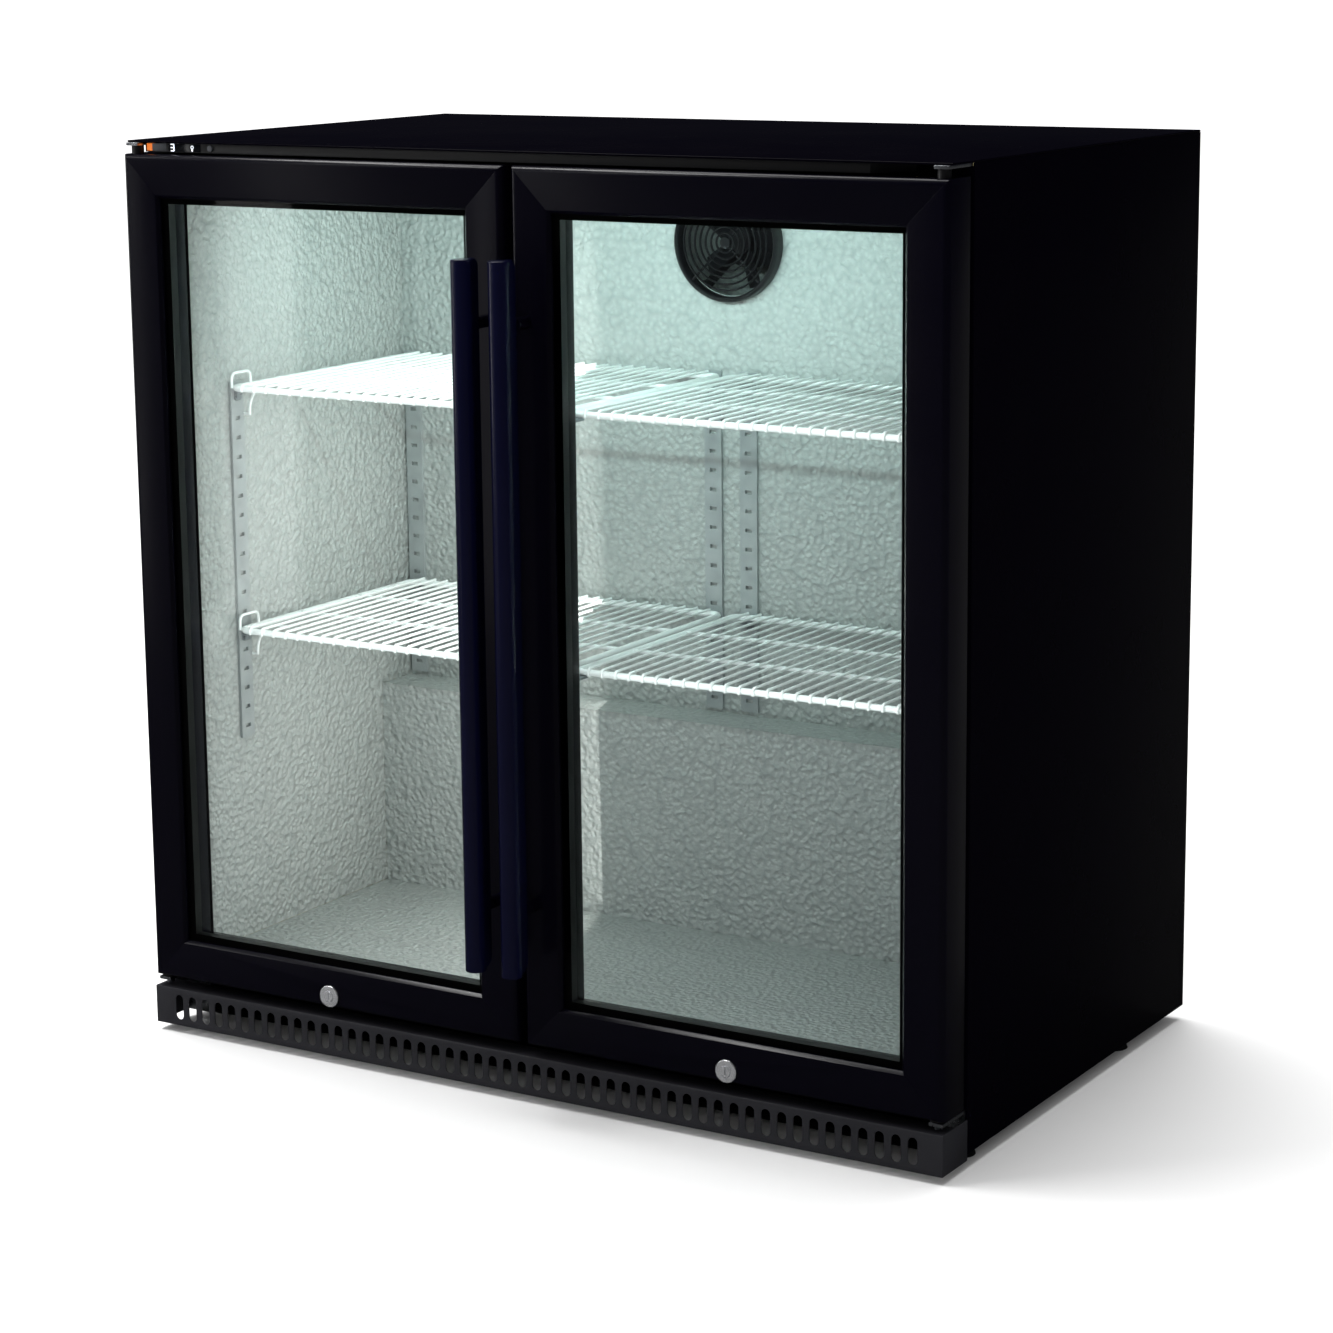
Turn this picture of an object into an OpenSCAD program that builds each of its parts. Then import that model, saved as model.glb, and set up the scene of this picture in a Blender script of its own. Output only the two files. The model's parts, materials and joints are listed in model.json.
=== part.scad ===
// Two-door glass-front undercounter refrigerator, free standing.
// X runs across the front, Y from the doors to the back, Z up from the floor.
// The shapes are laid out with Y = 0 on the door fronts; place() then moves them so that
// the origin is on the floor under the middle of the whole object.

/* [Cabinet] */
// Overall width
cabinet_w = 900; // [750:1:1350]
// Depth of the insulated body, without the doors
body_d = 500; // [470:1:640]
// Height from the floor to the top of the top panel
cabinet_h = 907; // [790:1:1100]
// Thickness of a side wall, outer face to liner face
wall_t = 38; // [32:1:46]
// Thickness of the ceiling, top face to liner face
ceiling_t = 45; // [40:1:60]
// Thickness of the back wall, outer face to liner
back_t = 40; // [30:1:50]
// Height of the compartment floor above the room floor
floor_z = 78; // [76:1:100]
// Thickness of the outer painted sheet
sheet_t = 1.2; // [0.8:0.1:1.5]
// Thickness of the embossed liner sheet
liner_t = 1; // [0.6:0.1:1.2]
// Thickness of the top panel
top_t = 2; // [1.5:0.1:2.5]
// Distance that the top panel's front edge stays behind the door fronts
top_setback = 8; // [4:0.5:13]
// Height of the base plate's underside above the floor
base_z = 14; // [11:0.5:16]

/* [Machine compartment] */
// Depth of the step at the bottom rear of the compartment, from the body's back
hump_d = 195; // [185:1:210]
// Height of the step's top above the floor
hump_z = 300; // [280:1:310]
// Insulation thickness around the step
hump_wall = 30; // [25:1:32]
// Distance from the body's back to the front of the air duct cover
duct_d = 140; // [135:1:150]

/* [Kick grille] */
// Height of the grille's bottom edge above the floor
kick_z = 8; // [6:0.5:10]
// Height of the grille
kick_h = 39; // [36:0.5:42]
// Width of one slot
kick_slot_w = 9.5; // [6:0.5:11]
// Height of one slot
kick_slot_h = 26; // [20:0.5:28]
// Distance from one slot to the next
kick_pitch = 16.8; // [14:0.1:22]
// Plain metal left at each end of the grille
kick_margin = 29; // [24:1:40]
// Depth of the grille's top flange, which the lock cams catch behind
kick_flange_d = 26.5; // [20:0.5:26.5]

/* [Doors] */
// Thickness of a door frame
door_t = 42; // [40:0.5:50]
// Thickness of the compressed seal behind a door
seal_t = 8; // [6:0.5:10]
// Gap between the two doors
door_gap = 10; // [8:0.5:12]
// Gap between the grille and the doors
door_lift = 11; // [10:0.5:14]
// Gap between the doors and the top panel
head_gap = 11; // [11:0.5:14]
// Width of a frame member's front face
frame_w = 42; // [40:0.5:52]
// Radius of the frame's outer front edge
frame_r = 6; // [2:0.5:6]
// Bevel round the inside of the frame's front face
bead = 3; // [1:0.5:4]
// Depth that the glass sits into the frame
glass_bite = 8; // [6:0.5:9]
// Distance of the glass slot behind the door front
glass_y = 6; // [5:0.5:7]
// Thickness of one pane
pane_t = 4; // [3:0.5:4]
// Gap between the two panes
pane_gap = 9.8; // [8:0.1:11]
// Width of the spacer between the panes
spacer_w = 10; // [6:0.5:12]
// Distance of the seal from the door's edge
seal_in = 8; // [8:0.5:10]
// Width of the seal
seal_w = 12; // [8:0.5:12]
// Air left between a seal and the cabinet
seal_clear = 0.3; // [0.3:0.1:0.5]

/* [Handles] */
// Diameter of the round grip
grip_dia = 20; // [16:0.5:22]
// Distance from the door front to the front of the grip
handle_reach = 53; // [50:0.5:60]
// Length of a handle
handle_len = 672; // [500:1:700]
// Distance from the door's inner edge to the middle of the handle
handle_edge = 15.5; // [15:0.5:24]
// Depth of the fin behind the grip
fin_d = 14; // [10:0.5:16]
// Thickness of the fin
fin_t = 5; // [4:0.5:7]
// Radius of the fin's rear corners
fin_r = 9; // [4:0.5:10]
// Diameter of a handle post
post_dia = 12; // [8:0.5:14]
// Distance from a handle's end to its post
post_in = 60; // [40:1:100]

/* [Hinges] */
// Diameter of a hinge pin
pin_dia = 8; // [6:0.5:9]
// Radial clearance between a pin and its bush
pin_clear = 0.06; // [0.02:0.01:0.1]
// Wall thickness of a bush
bush_wall = 2; // [1.5:0.1:2]
// Distance of the hinge axis from the door's side edge
hinge_in = 10; // [10:0.5:11]
// Distance of the hinge axis behind the door front
hinge_y = 12; // [12:0.5:14]
// Depth that a pin reaches into the door
pin_depth = 13; // [10:0.5:18]
// Thickness of a hinge bracket
bracket_t = 3; // [2.5:0.1:3]
// Width of a hinge bracket's arm
bracket_w = 14; // [13:0.5:14]

/* [Locks] */
// Diameter of the lock's front rim
lock_rim_dia = 22; // [18:0.5:22]
// Diameter of the lock housing
lock_body_dia = 16; // [14:0.5:18]
// Diameter of the turning plug
plug_dia = 10; // [8:0.5:11]
// Radial clearance round the plug
plug_clear = 0.05; // [0.02:0.01:0.1]
// Height of the lock's middle above the door's bottom edge
lock_up = 12; // [12:0.5:14]
// Reach of the cam from the lock's middle
cam_len = 27; // [26:0.5:29]
// Width of the cam
cam_w = 12; // [9:0.5:12]

/* [Shelves] */
// Height of the top bay, ceiling to upper shelf
top_bay_h = 207; // [200:1:250]
// Height of the bottom bay, floor to lower shelf
bottom_bay_h = 328; // [300:1:345]
// Distance of a shelf's front wire behind the liner's front edge
shelf_setback = 48; // [40:1:60]
// Diameter of a shelf's frame wire
rim_wire = 6; // [5:0.5:7]
// Diameter of a shelf's thin wires
thin_wire = 3; // [2.5:0.5:4]
// Distance from one thin wire to the next
wire_pitch = 15; // [15:1:30]
// Gap between a shelf and what is beside it
shelf_gap = 5; // [4:0.5:8]
// Width of a slotted shelf strip
strip_w = 20; // [16:1:24]
// Depth of a slotted shelf strip
strip_t = 3; // [2:0.5:3]
// Distance from one strip slot to the next
strip_pitch = 20; // [16:1:25]

/* [Fans] */
// Outer radius of the guard over the cabinet fan
guard_r = 61; // [60:0.5:68]
// Distance from the ceiling to the cabinet fan's axis
fan_drop = 70; // [69:0.5:90]
// Depth of the guard in front of the duct cover
guard_d = 13; // [10:0.5:14]
// Radius of the cabinet fan's blades
evap_blade_r = 50; // [40:0.5:52]
// Radius of the condenser fan's blades
cond_blade_r = 78; // [60:0.5:80]
// Radius of a motor shaft
shaft_r = 3; // [2.5:0.5:4]
// Radial clearance between a shaft and its hub
hub_clear = 0.05; // [0.02:0.01:0.1]

/* [Controls] */
// Distance of the control strip behind the door fronts
strip_setback = 14; // [12:0.5:16]
// Width of the light switch rocker
rocker_w = 24; // [18:0.5:24]
// Angle that the rocker rests at
rocker_tilt = 5; // [3:0.5:6]
// Radius of the rocker's pivot pin
rocker_pin_r = 1.5; // [1:0.1:2]
// Radial clearance round the pivot pin
rocker_pin_clear = 0.05; // [0.02:0.01:0.1]
// Width of the display window
display_w = 40; // [30:1:50]
// Radius of the setting key
key_r = 3; // [2.5:0.1:3]
// Radial clearance round the key
key_clear = 0.1; // [0.05:0.01:0.1]

/* [Rear] */
// Height of a screw head
screw_head_t = 2; // [1.5:0.1:3]
// Radius of a screw head
screw_head_r = 4; // [3:0.5:5]
// Radius of a screw shank
screw_r = 2; // [1.5:0.1:2]
// Radius of the cord hole through the gland
gland_bore_r = 4.5; // [3.5:0.1:5]

/* [Hidden] */
$fn = 48;
eps = 0.01;

// Colours
paint_black = "#1b1b1e";
grille_grey = "#2b2b2f";
door_black = "#141417";
stucco_grey = "#b9c4c0";
wire_white = "#eef1f0";
rubber_black = "#101012";
zinc = "#b4b7ba";
chrome = "#d6d8db";
copper = "#b36a3c";
fin_grey = "#a9adb0";
foam_cream = "#e5d8ae";
glass_tint = [0.82, 0.9, 0.88, 0.35];

// Cabinet planes
x_out = cabinet_w / 2;
x_in = x_out - wall_t;
x_sheet = x_out - sheet_t;
body_y0 = door_t + seal_t;
body_y1 = body_y0 + body_d;
mid_y = (body_y1 + screw_head_t - handle_reach) / 2;
front_y = body_y0 + sheet_t;
rear_y = body_y1 - sheet_t;
top_z = cabinet_h - top_t;
rail_top_z = top_z - bracket_t;
ceil_z = cabinet_h - ceiling_t;
kick_top = kick_z + kick_h;
base_top = base_z + sheet_t;
liner_y1 = body_y1 - back_t;
hump_y = body_y1 - hump_d;
duct_y = body_y1 - duct_d;
machine_y = hump_y + hump_wall;
machine_z = hump_z - hump_wall;

// Doors
door_z0 = kick_top + door_lift;
door_z1 = top_z - head_gap;
door_h = door_z1 - door_z0;
door_w = x_out - door_gap / 2;
slot_u = frame_w - glass_bite;
glass_fit = 0.1;
glass_edge = 0.5;
glass_y1 = glass_y + 2 * pane_t + pane_gap + 2 * glass_fit;
bush_r = pin_dia / 2 + pin_clear + bush_wall;
bush_flange_r = bush_r + 2;
bush_play = 0.2;
bush_floor = 1.5;
lower_pin_drop = 4;
bracket_z = door_z0 - 2 - bracket_t;
bracket_y = 4;
bracket_out = 2;
plate_in = 54;
plate_d = 42;
foot_leg_w = 30;
foot_leg_h = bracket_z - kick_z - 1;
base_lip_z = kick_z + 1;

// Locks, measured in the door's own frame
lock_a = door_w / 2;
rim_t = 2;
lock_depth = 27;
cam_t = 3;
cam_gap = 1;
pocket_d = 9;
pocket_clear = 3;
plug_proud = 0.6;

// Handles
grip_y = -handle_reach + grip_dia / 2;
fin_y = -handle_reach + grip_dia + fin_d;
handle_z0 = (door_h - handle_len) / 2;
handle_a = door_w - handle_edge;

// Shelves
shelf_upper_z = ceil_z - top_bay_h;
shelf_lower_z = floor_z + bottom_bay_h;
shelf_levels = [shelf_upper_z, shelf_lower_z];
shelf_y0 = body_y0 + shelf_setback;
shelf_y1 = duct_y - strip_t - 7;
shelf_x0 = shelf_gap;
shelf_x1 = x_in - shelf_gap - strip_t;
strip_z0 = hump_z + 4;
strip_z1 = shelf_upper_z + 5;
strip_margin = 12;
strip_slot_w = 8;
strip_slot_h = 4;
inner_strip_x = 21;
outer_strip_x = x_in - strip_w / 2 - 3;
side_strip_y = shelf_y0 + 18;
side_strip_z0 = strip_z0 - 14;
post_strip_x = 14;
stop_rise = 15;
stop_len = 30;
hook_r = 28;
clip_w = 10;
clip_t = 3;
clip_tab = 11;
clip_rest = 12;
clip_air = 0.05;
wire_sink = 0.5;
mullion_w = 2 * (door_gap / 2 + seal_in + seal_w + 1);
mullion_d = 14;
light_y = body_y0 + mullion_d + 2;
light_w = 18;
light_channel_h = 8;
light_lens_h = 4;
light_margin = 32;

// Controls
fascia_h = head_gap - 2;
fascia_z = top_z - fascia_h;
fascia_x0 = -x_out + bracket_out + bracket_w + 2;
fascia_x1 = x_out - 82;
fascia_flare = 26;
wall_min = 0.7;
slot_air = 0.3;
rocker_x = fascia_x0 + 1.5 + rocker_w / 2;
rocker_t = 7;
rocker_proud = 1.2;
rocker_y = strip_setback - rocker_proud + rocker_t / 2;
display_x = rocker_x + rocker_w / 2 + 3 + display_w / 2;
display_t = 1.2;
display_proud = 0.3;
key_x = display_x + display_w / 2 + 12;
key_travel = 1;
key_proud = 1.4;
key_len = 8;
control_z = fascia_z + fascia_h / 2;

// Machine compartment
comp_x = -(x_out - 190);
comp_y = (machine_y + rear_y) / 2;
comp_r = 66;
comp_z0 = base_top + 17;
comp_h = 165;
comp_plate_t = 3;
comp_plate = 145;
grommet_r = 11;
cond_w = 262;
cond_x0 = x_out - 390;
cond_x1 = cond_x0 + cond_w;
cond_mid = (cond_x0 + cond_x1) / 2;
cond_z0 = base_top + 12;
cond_h = 200;
cond_y0 = machine_y + 6;
cond_d = 40;
cond_fan_z = cond_z0 + cond_h / 2;
shroud_y = cond_y0 + cond_d + 4;
shroud_t = 1.5;
shroud_ring_d = 26;
cond_blade_y = shroud_y + 15;
cond_motor_y = shroud_y + shroud_t + shroud_ring_d + 4;
motor_r = 30;
motor_len = 38;
pipe_r = 4;
joint_r = 4.6;
riser_x = comp_x - 85;
riser_y = liner_y1 - 25;
pipe_hole_r = 6;

// Air duct and evaporator
fan_z = ceil_z - fan_drop;
fan_hole_r = guard_r - 6;
evap_blade_y = duct_y + 16;
evap_motor_y = duct_y + 32;
coil_x = x_in - 112;
coil_z0 = hump_z + 44;
coil_z1 = fan_z - guard_r - 30;
coil_y0 = duct_y + 18;
coil_d = 60;

// Feet
foot_x = x_out - 25;
foot_front_y = body_y0 + 35;
foot_rear_y = body_y1 - 120;
foot_r = 15;
foot_pad_h = 8;
stud_r = 4;
stud_air = 0.2;
stud_top = base_top + 16;
rail_w = 48;

// Rear
gland_x = -x_out + 52;
gland_z = 60;
gland_r = 8;
gland_len = 12;
seam = 2;
cover_z1 = machine_z - seam;
screw_in = 20;

// Moves the layout frame to the object's own frame.
module place() {
    translate([0, -mid_y, 0]) children();
}

// Puts a door's own frame in place: X runs from the hinge edge to the middle of the cabinet.
// side is -1 for the left door and 1 for the right door.
module on_door(side) {
    place()
        translate([side * x_out, 0, door_z0])
            mirror([side > 0 ? 1 : 0, 0, 0])
                children();
}

// Copies a piece to both sides of the cabinet.
module both_sides() {
    children();
    mirror([1, 0, 0]) children();
}

function arc(cx, cy, r, a0, a1, steps) =
    [for (i = [0:steps]) let (a = a0 + (a1 - a0) * i / steps) [cx + r * cos(a), cy + r * sin(a)]];

// A box given by its two corners.
module span(lo, hi) {
    translate(lo) cube(hi - lo);
}

// A cylinder along Y.
module along_y(r, y0, y1) {
    translate([0, y0, 0]) rotate([-90, 0, 0]) cylinder(r = r, h = y1 - y0);
}

// A round rod between two points.
module rod(p, q, r) {
    d = q - p;
    len = norm(d);
    translate(p)
        rotate([0, acos(d.z / len), atan2(d.y, d.x)])
            cylinder(r = r, h = len, $fn = 24);
}

// A plate in the XZ plane, from y0 towards the back, made from a flat outline.
module plate_y(y0, t) {
    translate([0, y0 + t, 0]) rotate([90, 0, 0]) linear_extrude(t) children();
}

module pipe(points, r) {
    for (i = [0:len(points) - 2])
        rod(points[i], points[i + 1], r);
    for (i = [1:len(points) - 2])
        translate(points[i]) sphere(r = joint_r, $fn = 24);
}

// ---- Outer body ----

// Heights of the screws in a lower hinge bracket, below its arm
leg_drops = [8, 31];
leg_screw_x = x_sheet - foot_leg_w + 9;

module side_panel() {
    span([x_sheet, body_y0, base_z], [x_out, body_y1, top_z]);
    difference() {
        span([x_in, body_y0, base_z], [x_out - sheet_t / 2, front_y, rail_top_z]);
        for (drop = leg_drops)
            translate([leg_screw_x, 0, bracket_z - drop]) along_y(screw_r, body_y0 - 1, front_y + 1);
    }
}

module side_panel_left() {
    color(paint_black) place() mirror([1, 0, 0]) side_panel();
}

module side_panel_right() {
    color(paint_black) place() side_panel();
}

module top_panel() {
    color(paint_black) place() span([-x_out, top_setback, top_z], [x_out, body_y1, cabinet_h]);
}

// Screw places on the back, as [x, z] pairs
rear_x = [-x_sheet + screw_in, 0, x_sheet - screw_in];
panel_screws = [for (x = rear_x, z = [machine_z + screw_in, top_z - screw_in]) [x, z]];
cover_screws = [for (x = rear_x, z = [base_top + screw_in, cover_z1 - screw_in]) [x, z]];
duct_screws = [for (x = [-x_in + 32, x_in - 32], z = [hump_z + 24, ceil_z - 22]) [x, z]];

module screw_holes(places) {
    for (p = places)
        translate(p) circle(r = screw_r, $fn = 24);
}

module back_panel() {
    color(paint_black) place()
        plate_y(rear_y, sheet_t)
            difference() {
                translate([-x_sheet, machine_z]) square([2 * x_sheet, top_z - machine_z]);
                screw_holes(panel_screws);
            }
}

louvre_w = 70;
louvre_h = 5;
louvre_pitch = 13;
louvre_rows = 13;
louvre_z = base_top + 32;

module louvres(x) {
    for (i = [0:louvre_rows - 1])
        translate([x - louvre_w / 2, louvre_z + i * louvre_pitch]) square([louvre_w, louvre_h]);
}

module rear_cover() {
    color(paint_black) place()
        plate_y(rear_y, sheet_t)
            difference() {
                translate([-x_sheet, base_top]) square([2 * x_sheet, cover_z1 - base_top]);
                screw_holes(cover_screws);
                for (x = [cond_mid - 90, cond_mid, cond_mid + 90, comp_x])
                    louvres(x);
                translate([gland_x, gland_z]) circle(r = gland_r);
            }
}

module foot_places() {
    for (x = [-foot_x, foot_x], y = [foot_front_y, foot_rear_y])
        translate([x, y, 0]) children();
}

module base_pan() {
    color(zinc) place()
        difference() {
            union() {
                span([-x_sheet, front_y, base_z], [x_sheet, rear_y, base_top]);
                span([-x_sheet, front_y, base_lip_z], [x_sheet, front_y + sheet_t, base_top]);
                both_sides()
                    span([x_sheet - rail_w, front_y + 8, base_top - eps], [x_sheet, rear_y - 2, kick_top]);
            }
            foot_places()
                translate([0, 0, base_z - 1]) cylinder(r = stud_r + stud_air, h = stud_top - base_z + 3);
        }
}

module levelling_feet() {
    color(rubber_black) place()
        foot_places() {
            cylinder(r1 = foot_r, r2 = foot_r - 3, h = foot_pad_h);
            translate([0, 0, foot_pad_h - 1]) cylinder(r = foot_r - 7, h = base_z - foot_pad_h + 0.5, $fn = 6);
            cylinder(r = stud_r, h = stud_top);
        }
}

module insulation_foam() {
    color(foam_cream) place()
        difference() {
            span([-x_sheet, front_y, kick_top], [x_sheet, rear_y, top_z]);
            difference() {
                span([-x_in - liner_t, front_y - 1, floor_z - liner_t],
                     [x_in + liner_t, liner_y1, ceil_z + liner_t]);
                span([-x_out, hump_y, 0], [x_out, body_y1, hump_z - liner_t]);
            }
            span([-x_out, machine_y, 0], [x_out, body_y1, machine_z]);
            both_sides()
                span([x_out - plate_in, front_y - 1, rail_top_z],
                     [x_out - bracket_out, body_y0 + plate_d, top_z + 1]);
            translate([riser_x, riser_y, machine_z - 1]) cylinder(r = pipe_hole_r, h = hump_wall + 2);
        }
}

// ---- Liner ----

module liner_sides() {
    color(stucco_grey) place()
        both_sides()
            difference() {
                span([x_in, front_y, floor_z], [x_in + liner_t, liner_y1 - liner_t, ceil_z]);
                span([x_in - 1, hump_y - liner_t, 0], [x_in + 2 * liner_t, body_y1, hump_z]);
            }
}

module liner_ceiling() {
    color(stucco_grey) place()
        span([-x_in, front_y, ceil_z], [x_in, liner_y1 - liner_t, ceil_z + liner_t]);
}

module liner_floor() {
    color(stucco_grey) place()
        span([-x_in, front_y, floor_z - liner_t], [x_in, hump_y - liner_t, floor_z]);
}

module rear_liner() {
    color(stucco_grey) place()
        difference() {
            union() {
                span([-x_in, hump_y - liner_t, floor_z - liner_t], [x_in, hump_y, hump_z]);
                span([-x_in, hump_y - eps, hump_z - liner_t], [x_in, liner_y1, hump_z]);
                span([-x_in, liner_y1 - liner_t, hump_z - eps], [x_in, liner_y1, ceil_z + liner_t]);
            }
            translate([riser_x, riser_y, hump_z - 5]) cylinder(r = pipe_hole_r, h = 10);
        }
}

return_w = 60;
return_h = 6;
return_n = 3;
return_pitch = return_w + 26;
return_x = guard_r + return_w / 2 + 8;

module duct_cover() {
    color(stucco_grey) place()
        plate_y(duct_y, liner_t)
            difference() {
                translate([-x_in, hump_z]) square([2 * x_in, ceil_z - hump_z]);
                translate([0, fan_z]) circle(r = fan_hole_r);
                screw_holes(duct_screws);
                for (side = [-1, 1], i = [0:return_n - 1])
                    translate([side * (return_x + i * return_pitch) - return_w / 2, ceil_z - 8 - return_h])
                        square([return_w, return_h]);
            }
}

module mullion() {
    color(paint_black) place()
        span([-mullion_w / 2, body_y0, floor_z], [mullion_w / 2, body_y0 + mullion_d, ceil_z]);
}

module front_rails() {
    color(paint_black) place() {
        span([-x_in, body_y0, ceil_z], [x_in, front_y, rail_top_z]);
        span([-x_in, body_y0, kick_top], [x_in, front_y, floor_z]);
        span([-x_sheet + rail_w, front_y, kick_top - sheet_t], [x_sheet - rail_w, machine_y, kick_top]);
    }
}

// ---- Kick grille ----

kick_count = floor((cabinet_w - 2 * kick_margin) / kick_pitch) + 1;

// An upright slot with round ends.
module upright_slot(w, h) {
    polygon(concat(arc(0, (h - w) / 2, w / 2, 0, 180, 8), arc(0, -(h - w) / 2, w / 2, 180, 360, 8)));
}

module kick_grille() {
    color(grille_grey) place() {
        plate_y(0, sheet_t)
            difference() {
                translate([-x_out, kick_z]) square([cabinet_w, kick_h]);
                for (i = [0:kick_count - 1])
                    translate([(i - (kick_count - 1) / 2) * kick_pitch, kick_z + kick_h / 2])
                        upright_slot(kick_slot_w, kick_slot_h);
            }
        span([-x_out, sheet_t - eps, kick_top - sheet_t], [x_out, kick_flange_d, kick_top]);
        both_sides()
            span([x_sheet, sheet_t - eps, kick_z], [x_out, body_y0, kick_top]);
    }
}

// ---- Controls over the doors ----

module control_fascia() {
    color(door_black) place() {
        difference() {
            translate([0, 0, fascia_z])
                linear_extrude(fascia_h)
                    polygon([[fascia_x0, strip_setback], [fascia_x1, strip_setback],
                             [fascia_x1 + fascia_flare, body_y0], [fascia_x0, body_y0]]);
            span([rocker_x - rocker_w / 2 - 2 * slot_air, strip_setback - 1, fascia_z + wall_min],
                 [rocker_x + rocker_w / 2 + 2 * slot_air, strip_setback + rocker_t + 4, top_z - wall_min]);
            span([display_x - display_w / 2, strip_setback - 1, fascia_z + wall_min],
                 [display_x + display_w / 2, strip_setback + display_t - display_proud, top_z - wall_min]);
            translate([key_x, 0, control_z])
                along_y(key_r + key_clear, strip_setback - 1, strip_setback + key_len + key_travel);
        }
        translate([rocker_x, rocker_y, fascia_z + wall_min / 2])
            cylinder(r = rocker_pin_r, h = fascia_h - wall_min);
    }
}

module light_switch() {
    color("#e07b28") place()
        translate([rocker_x, rocker_y, 0])
            rotate([0, 0, rocker_tilt])
                difference() {
                    intersection() {
                        span([-rocker_w / 2, -rocker_t / 2, fascia_z + wall_min + slot_air],
                             [rocker_w / 2, rocker_t / 2, top_z - wall_min - slot_air]);
                        translate([0, rocker_w * 1.6 - rocker_t / 2, fascia_z])
                            cylinder(r = rocker_w * 1.6, h = fascia_h, $fn = 96);
                    }
                    translate([0, 0, fascia_z]) cylinder(r = rocker_pin_r + rocker_pin_clear, h = fascia_h);
                }
}

module display_window() {
    color("#05070a") place()
        span([display_x - display_w / 2, strip_setback - display_proud, fascia_z + wall_min],
             [display_x + display_w / 2, strip_setback + display_t - display_proud, top_z - wall_min]);
}

module set_key() {
    color("#3a3c40") place()
        translate([key_x, 0, control_z])
            along_y(key_r, strip_setback - key_proud, strip_setback + key_len - key_proud);
}

// ---- Hinges ----

module hinge_bracket_upper() {
    span([x_out - bracket_out - bracket_w, bracket_y, rail_top_z],
         [x_out - bracket_out, body_y0 + plate_d, top_z]);
    span([x_out - plate_in, body_y0, rail_top_z], [x_out - bracket_out, body_y0 + plate_d, top_z]);
    translate([x_out - hinge_in, hinge_y, door_z1 - pin_depth])
        cylinder(r = pin_dia / 2, h = top_z - door_z1 + pin_depth);
}

module hinge_bracket_lower() {
    leg_x = x_sheet - foot_leg_w;
    span([x_out - bracket_out - bracket_w, bracket_y, bracket_z], [x_out - bracket_out, body_y0, bracket_z + bracket_t]);
    difference() {
        span([leg_x, body_y0 - bracket_t, bracket_z - foot_leg_h], [x_out - bracket_out, body_y0, bracket_z + bracket_t]);
        for (drop = leg_drops)
            translate([leg_screw_x, 0, bracket_z - drop]) along_y(screw_r, body_y0 - bracket_t - 1, body_y0 + 1);
    }
    translate([x_out - hinge_in, hinge_y, bracket_z - lower_pin_drop])
        cylinder(r = pin_dia / 2, h = door_z0 + pin_depth - bracket_z + lower_pin_drop);
}

module hinge_brackets() {
    color(zinc) place()
        both_sides() {
            hinge_bracket_upper();
            hinge_bracket_lower();
        }
}

// ---- Light ----

module led_bar() {
    color(chrome) place()
        span([-x_in + light_margin, light_y, ceil_z - light_channel_h],
             [x_in - light_margin, light_y + light_w, ceil_z]);
}

module led_diffuser() {
    color("white") place()
        span([-x_in + light_margin, light_y + 2, ceil_z - light_channel_h - light_lens_h],
             [x_in - light_margin, light_y + light_w - 2, ceil_z - light_channel_h]);
}

// ---- Shelf strips, clips and shelves ----

module strip_outline(z0 = strip_z0) {
    difference() {
        translate([-strip_w / 2, z0]) square([strip_w, strip_z1 - z0]);
        for (z = [z0 + strip_margin:strip_pitch:strip_z1 - strip_margin])
            translate([-strip_slot_w / 2, z - strip_slot_h / 2]) square([strip_slot_w, strip_slot_h]);
    }
}

module pilasters() {
    color(stucco_grey) place()
        both_sides() {
            for (x = [inner_strip_x, outer_strip_x])
                translate([x, 0, 0]) plate_y(duct_y - strip_t, strip_t) strip_outline();
            translate([post_strip_x, 0, 0]) plate_y(body_y0 + mullion_d, strip_t)
                intersection() {
                    strip_outline();
                    translate([-strip_w / 2 + 1, 0]) square([strip_w, cabinet_h]);
                }
            translate([x_in, side_strip_y, 0]) rotate([0, 0, 90]) plate_y(0, strip_t) strip_outline(side_strip_z0);
        }
}

// A clip that rests on a strip at Y = 0 and reaches to Y = reach, with its top at z.
module clip(z, reach) {
    span([-clip_w / 2, 0, z - clip_t], [clip_w / 2, reach, z]);
    span([-clip_w / 2, 0, z - clip_tab], [clip_w / 2, clip_t, z]);
}

module shelf_clips() {
    color(zinc) place()
        both_sides()
            for (level = shelf_levels) {
                z = level - rim_wire / 2 - clip_air;
                for (x = [inner_strip_x, outer_strip_x])
                    translate([x, duct_y - strip_t, 0]) rotate([0, 0, 180]) clip(z, clip_rest);
                translate([post_strip_x, body_y0 + mullion_d + strip_t, 0])
                    clip(z, shelf_y0 + rim_wire / 2 - body_y0 - mullion_d - strip_t);
                translate([x_in - strip_t, side_strip_y, 0]) rotate([0, 0, 90]) clip(z, clip_rest);
            }
}

// The short wire loop that stands on a shelf's outer front corner.
module corner_stop(level, x) {
    r = thin_wire / 2;
    top = level + stop_rise;
    for (y = [shelf_y0, shelf_y0 + stop_len])
        rod([x, y, level], [x, y, top + r - 0.2], r);
    rod([x, shelf_y0, top], [x, shelf_y0 + stop_len, top], r - 0.1);
}

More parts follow.
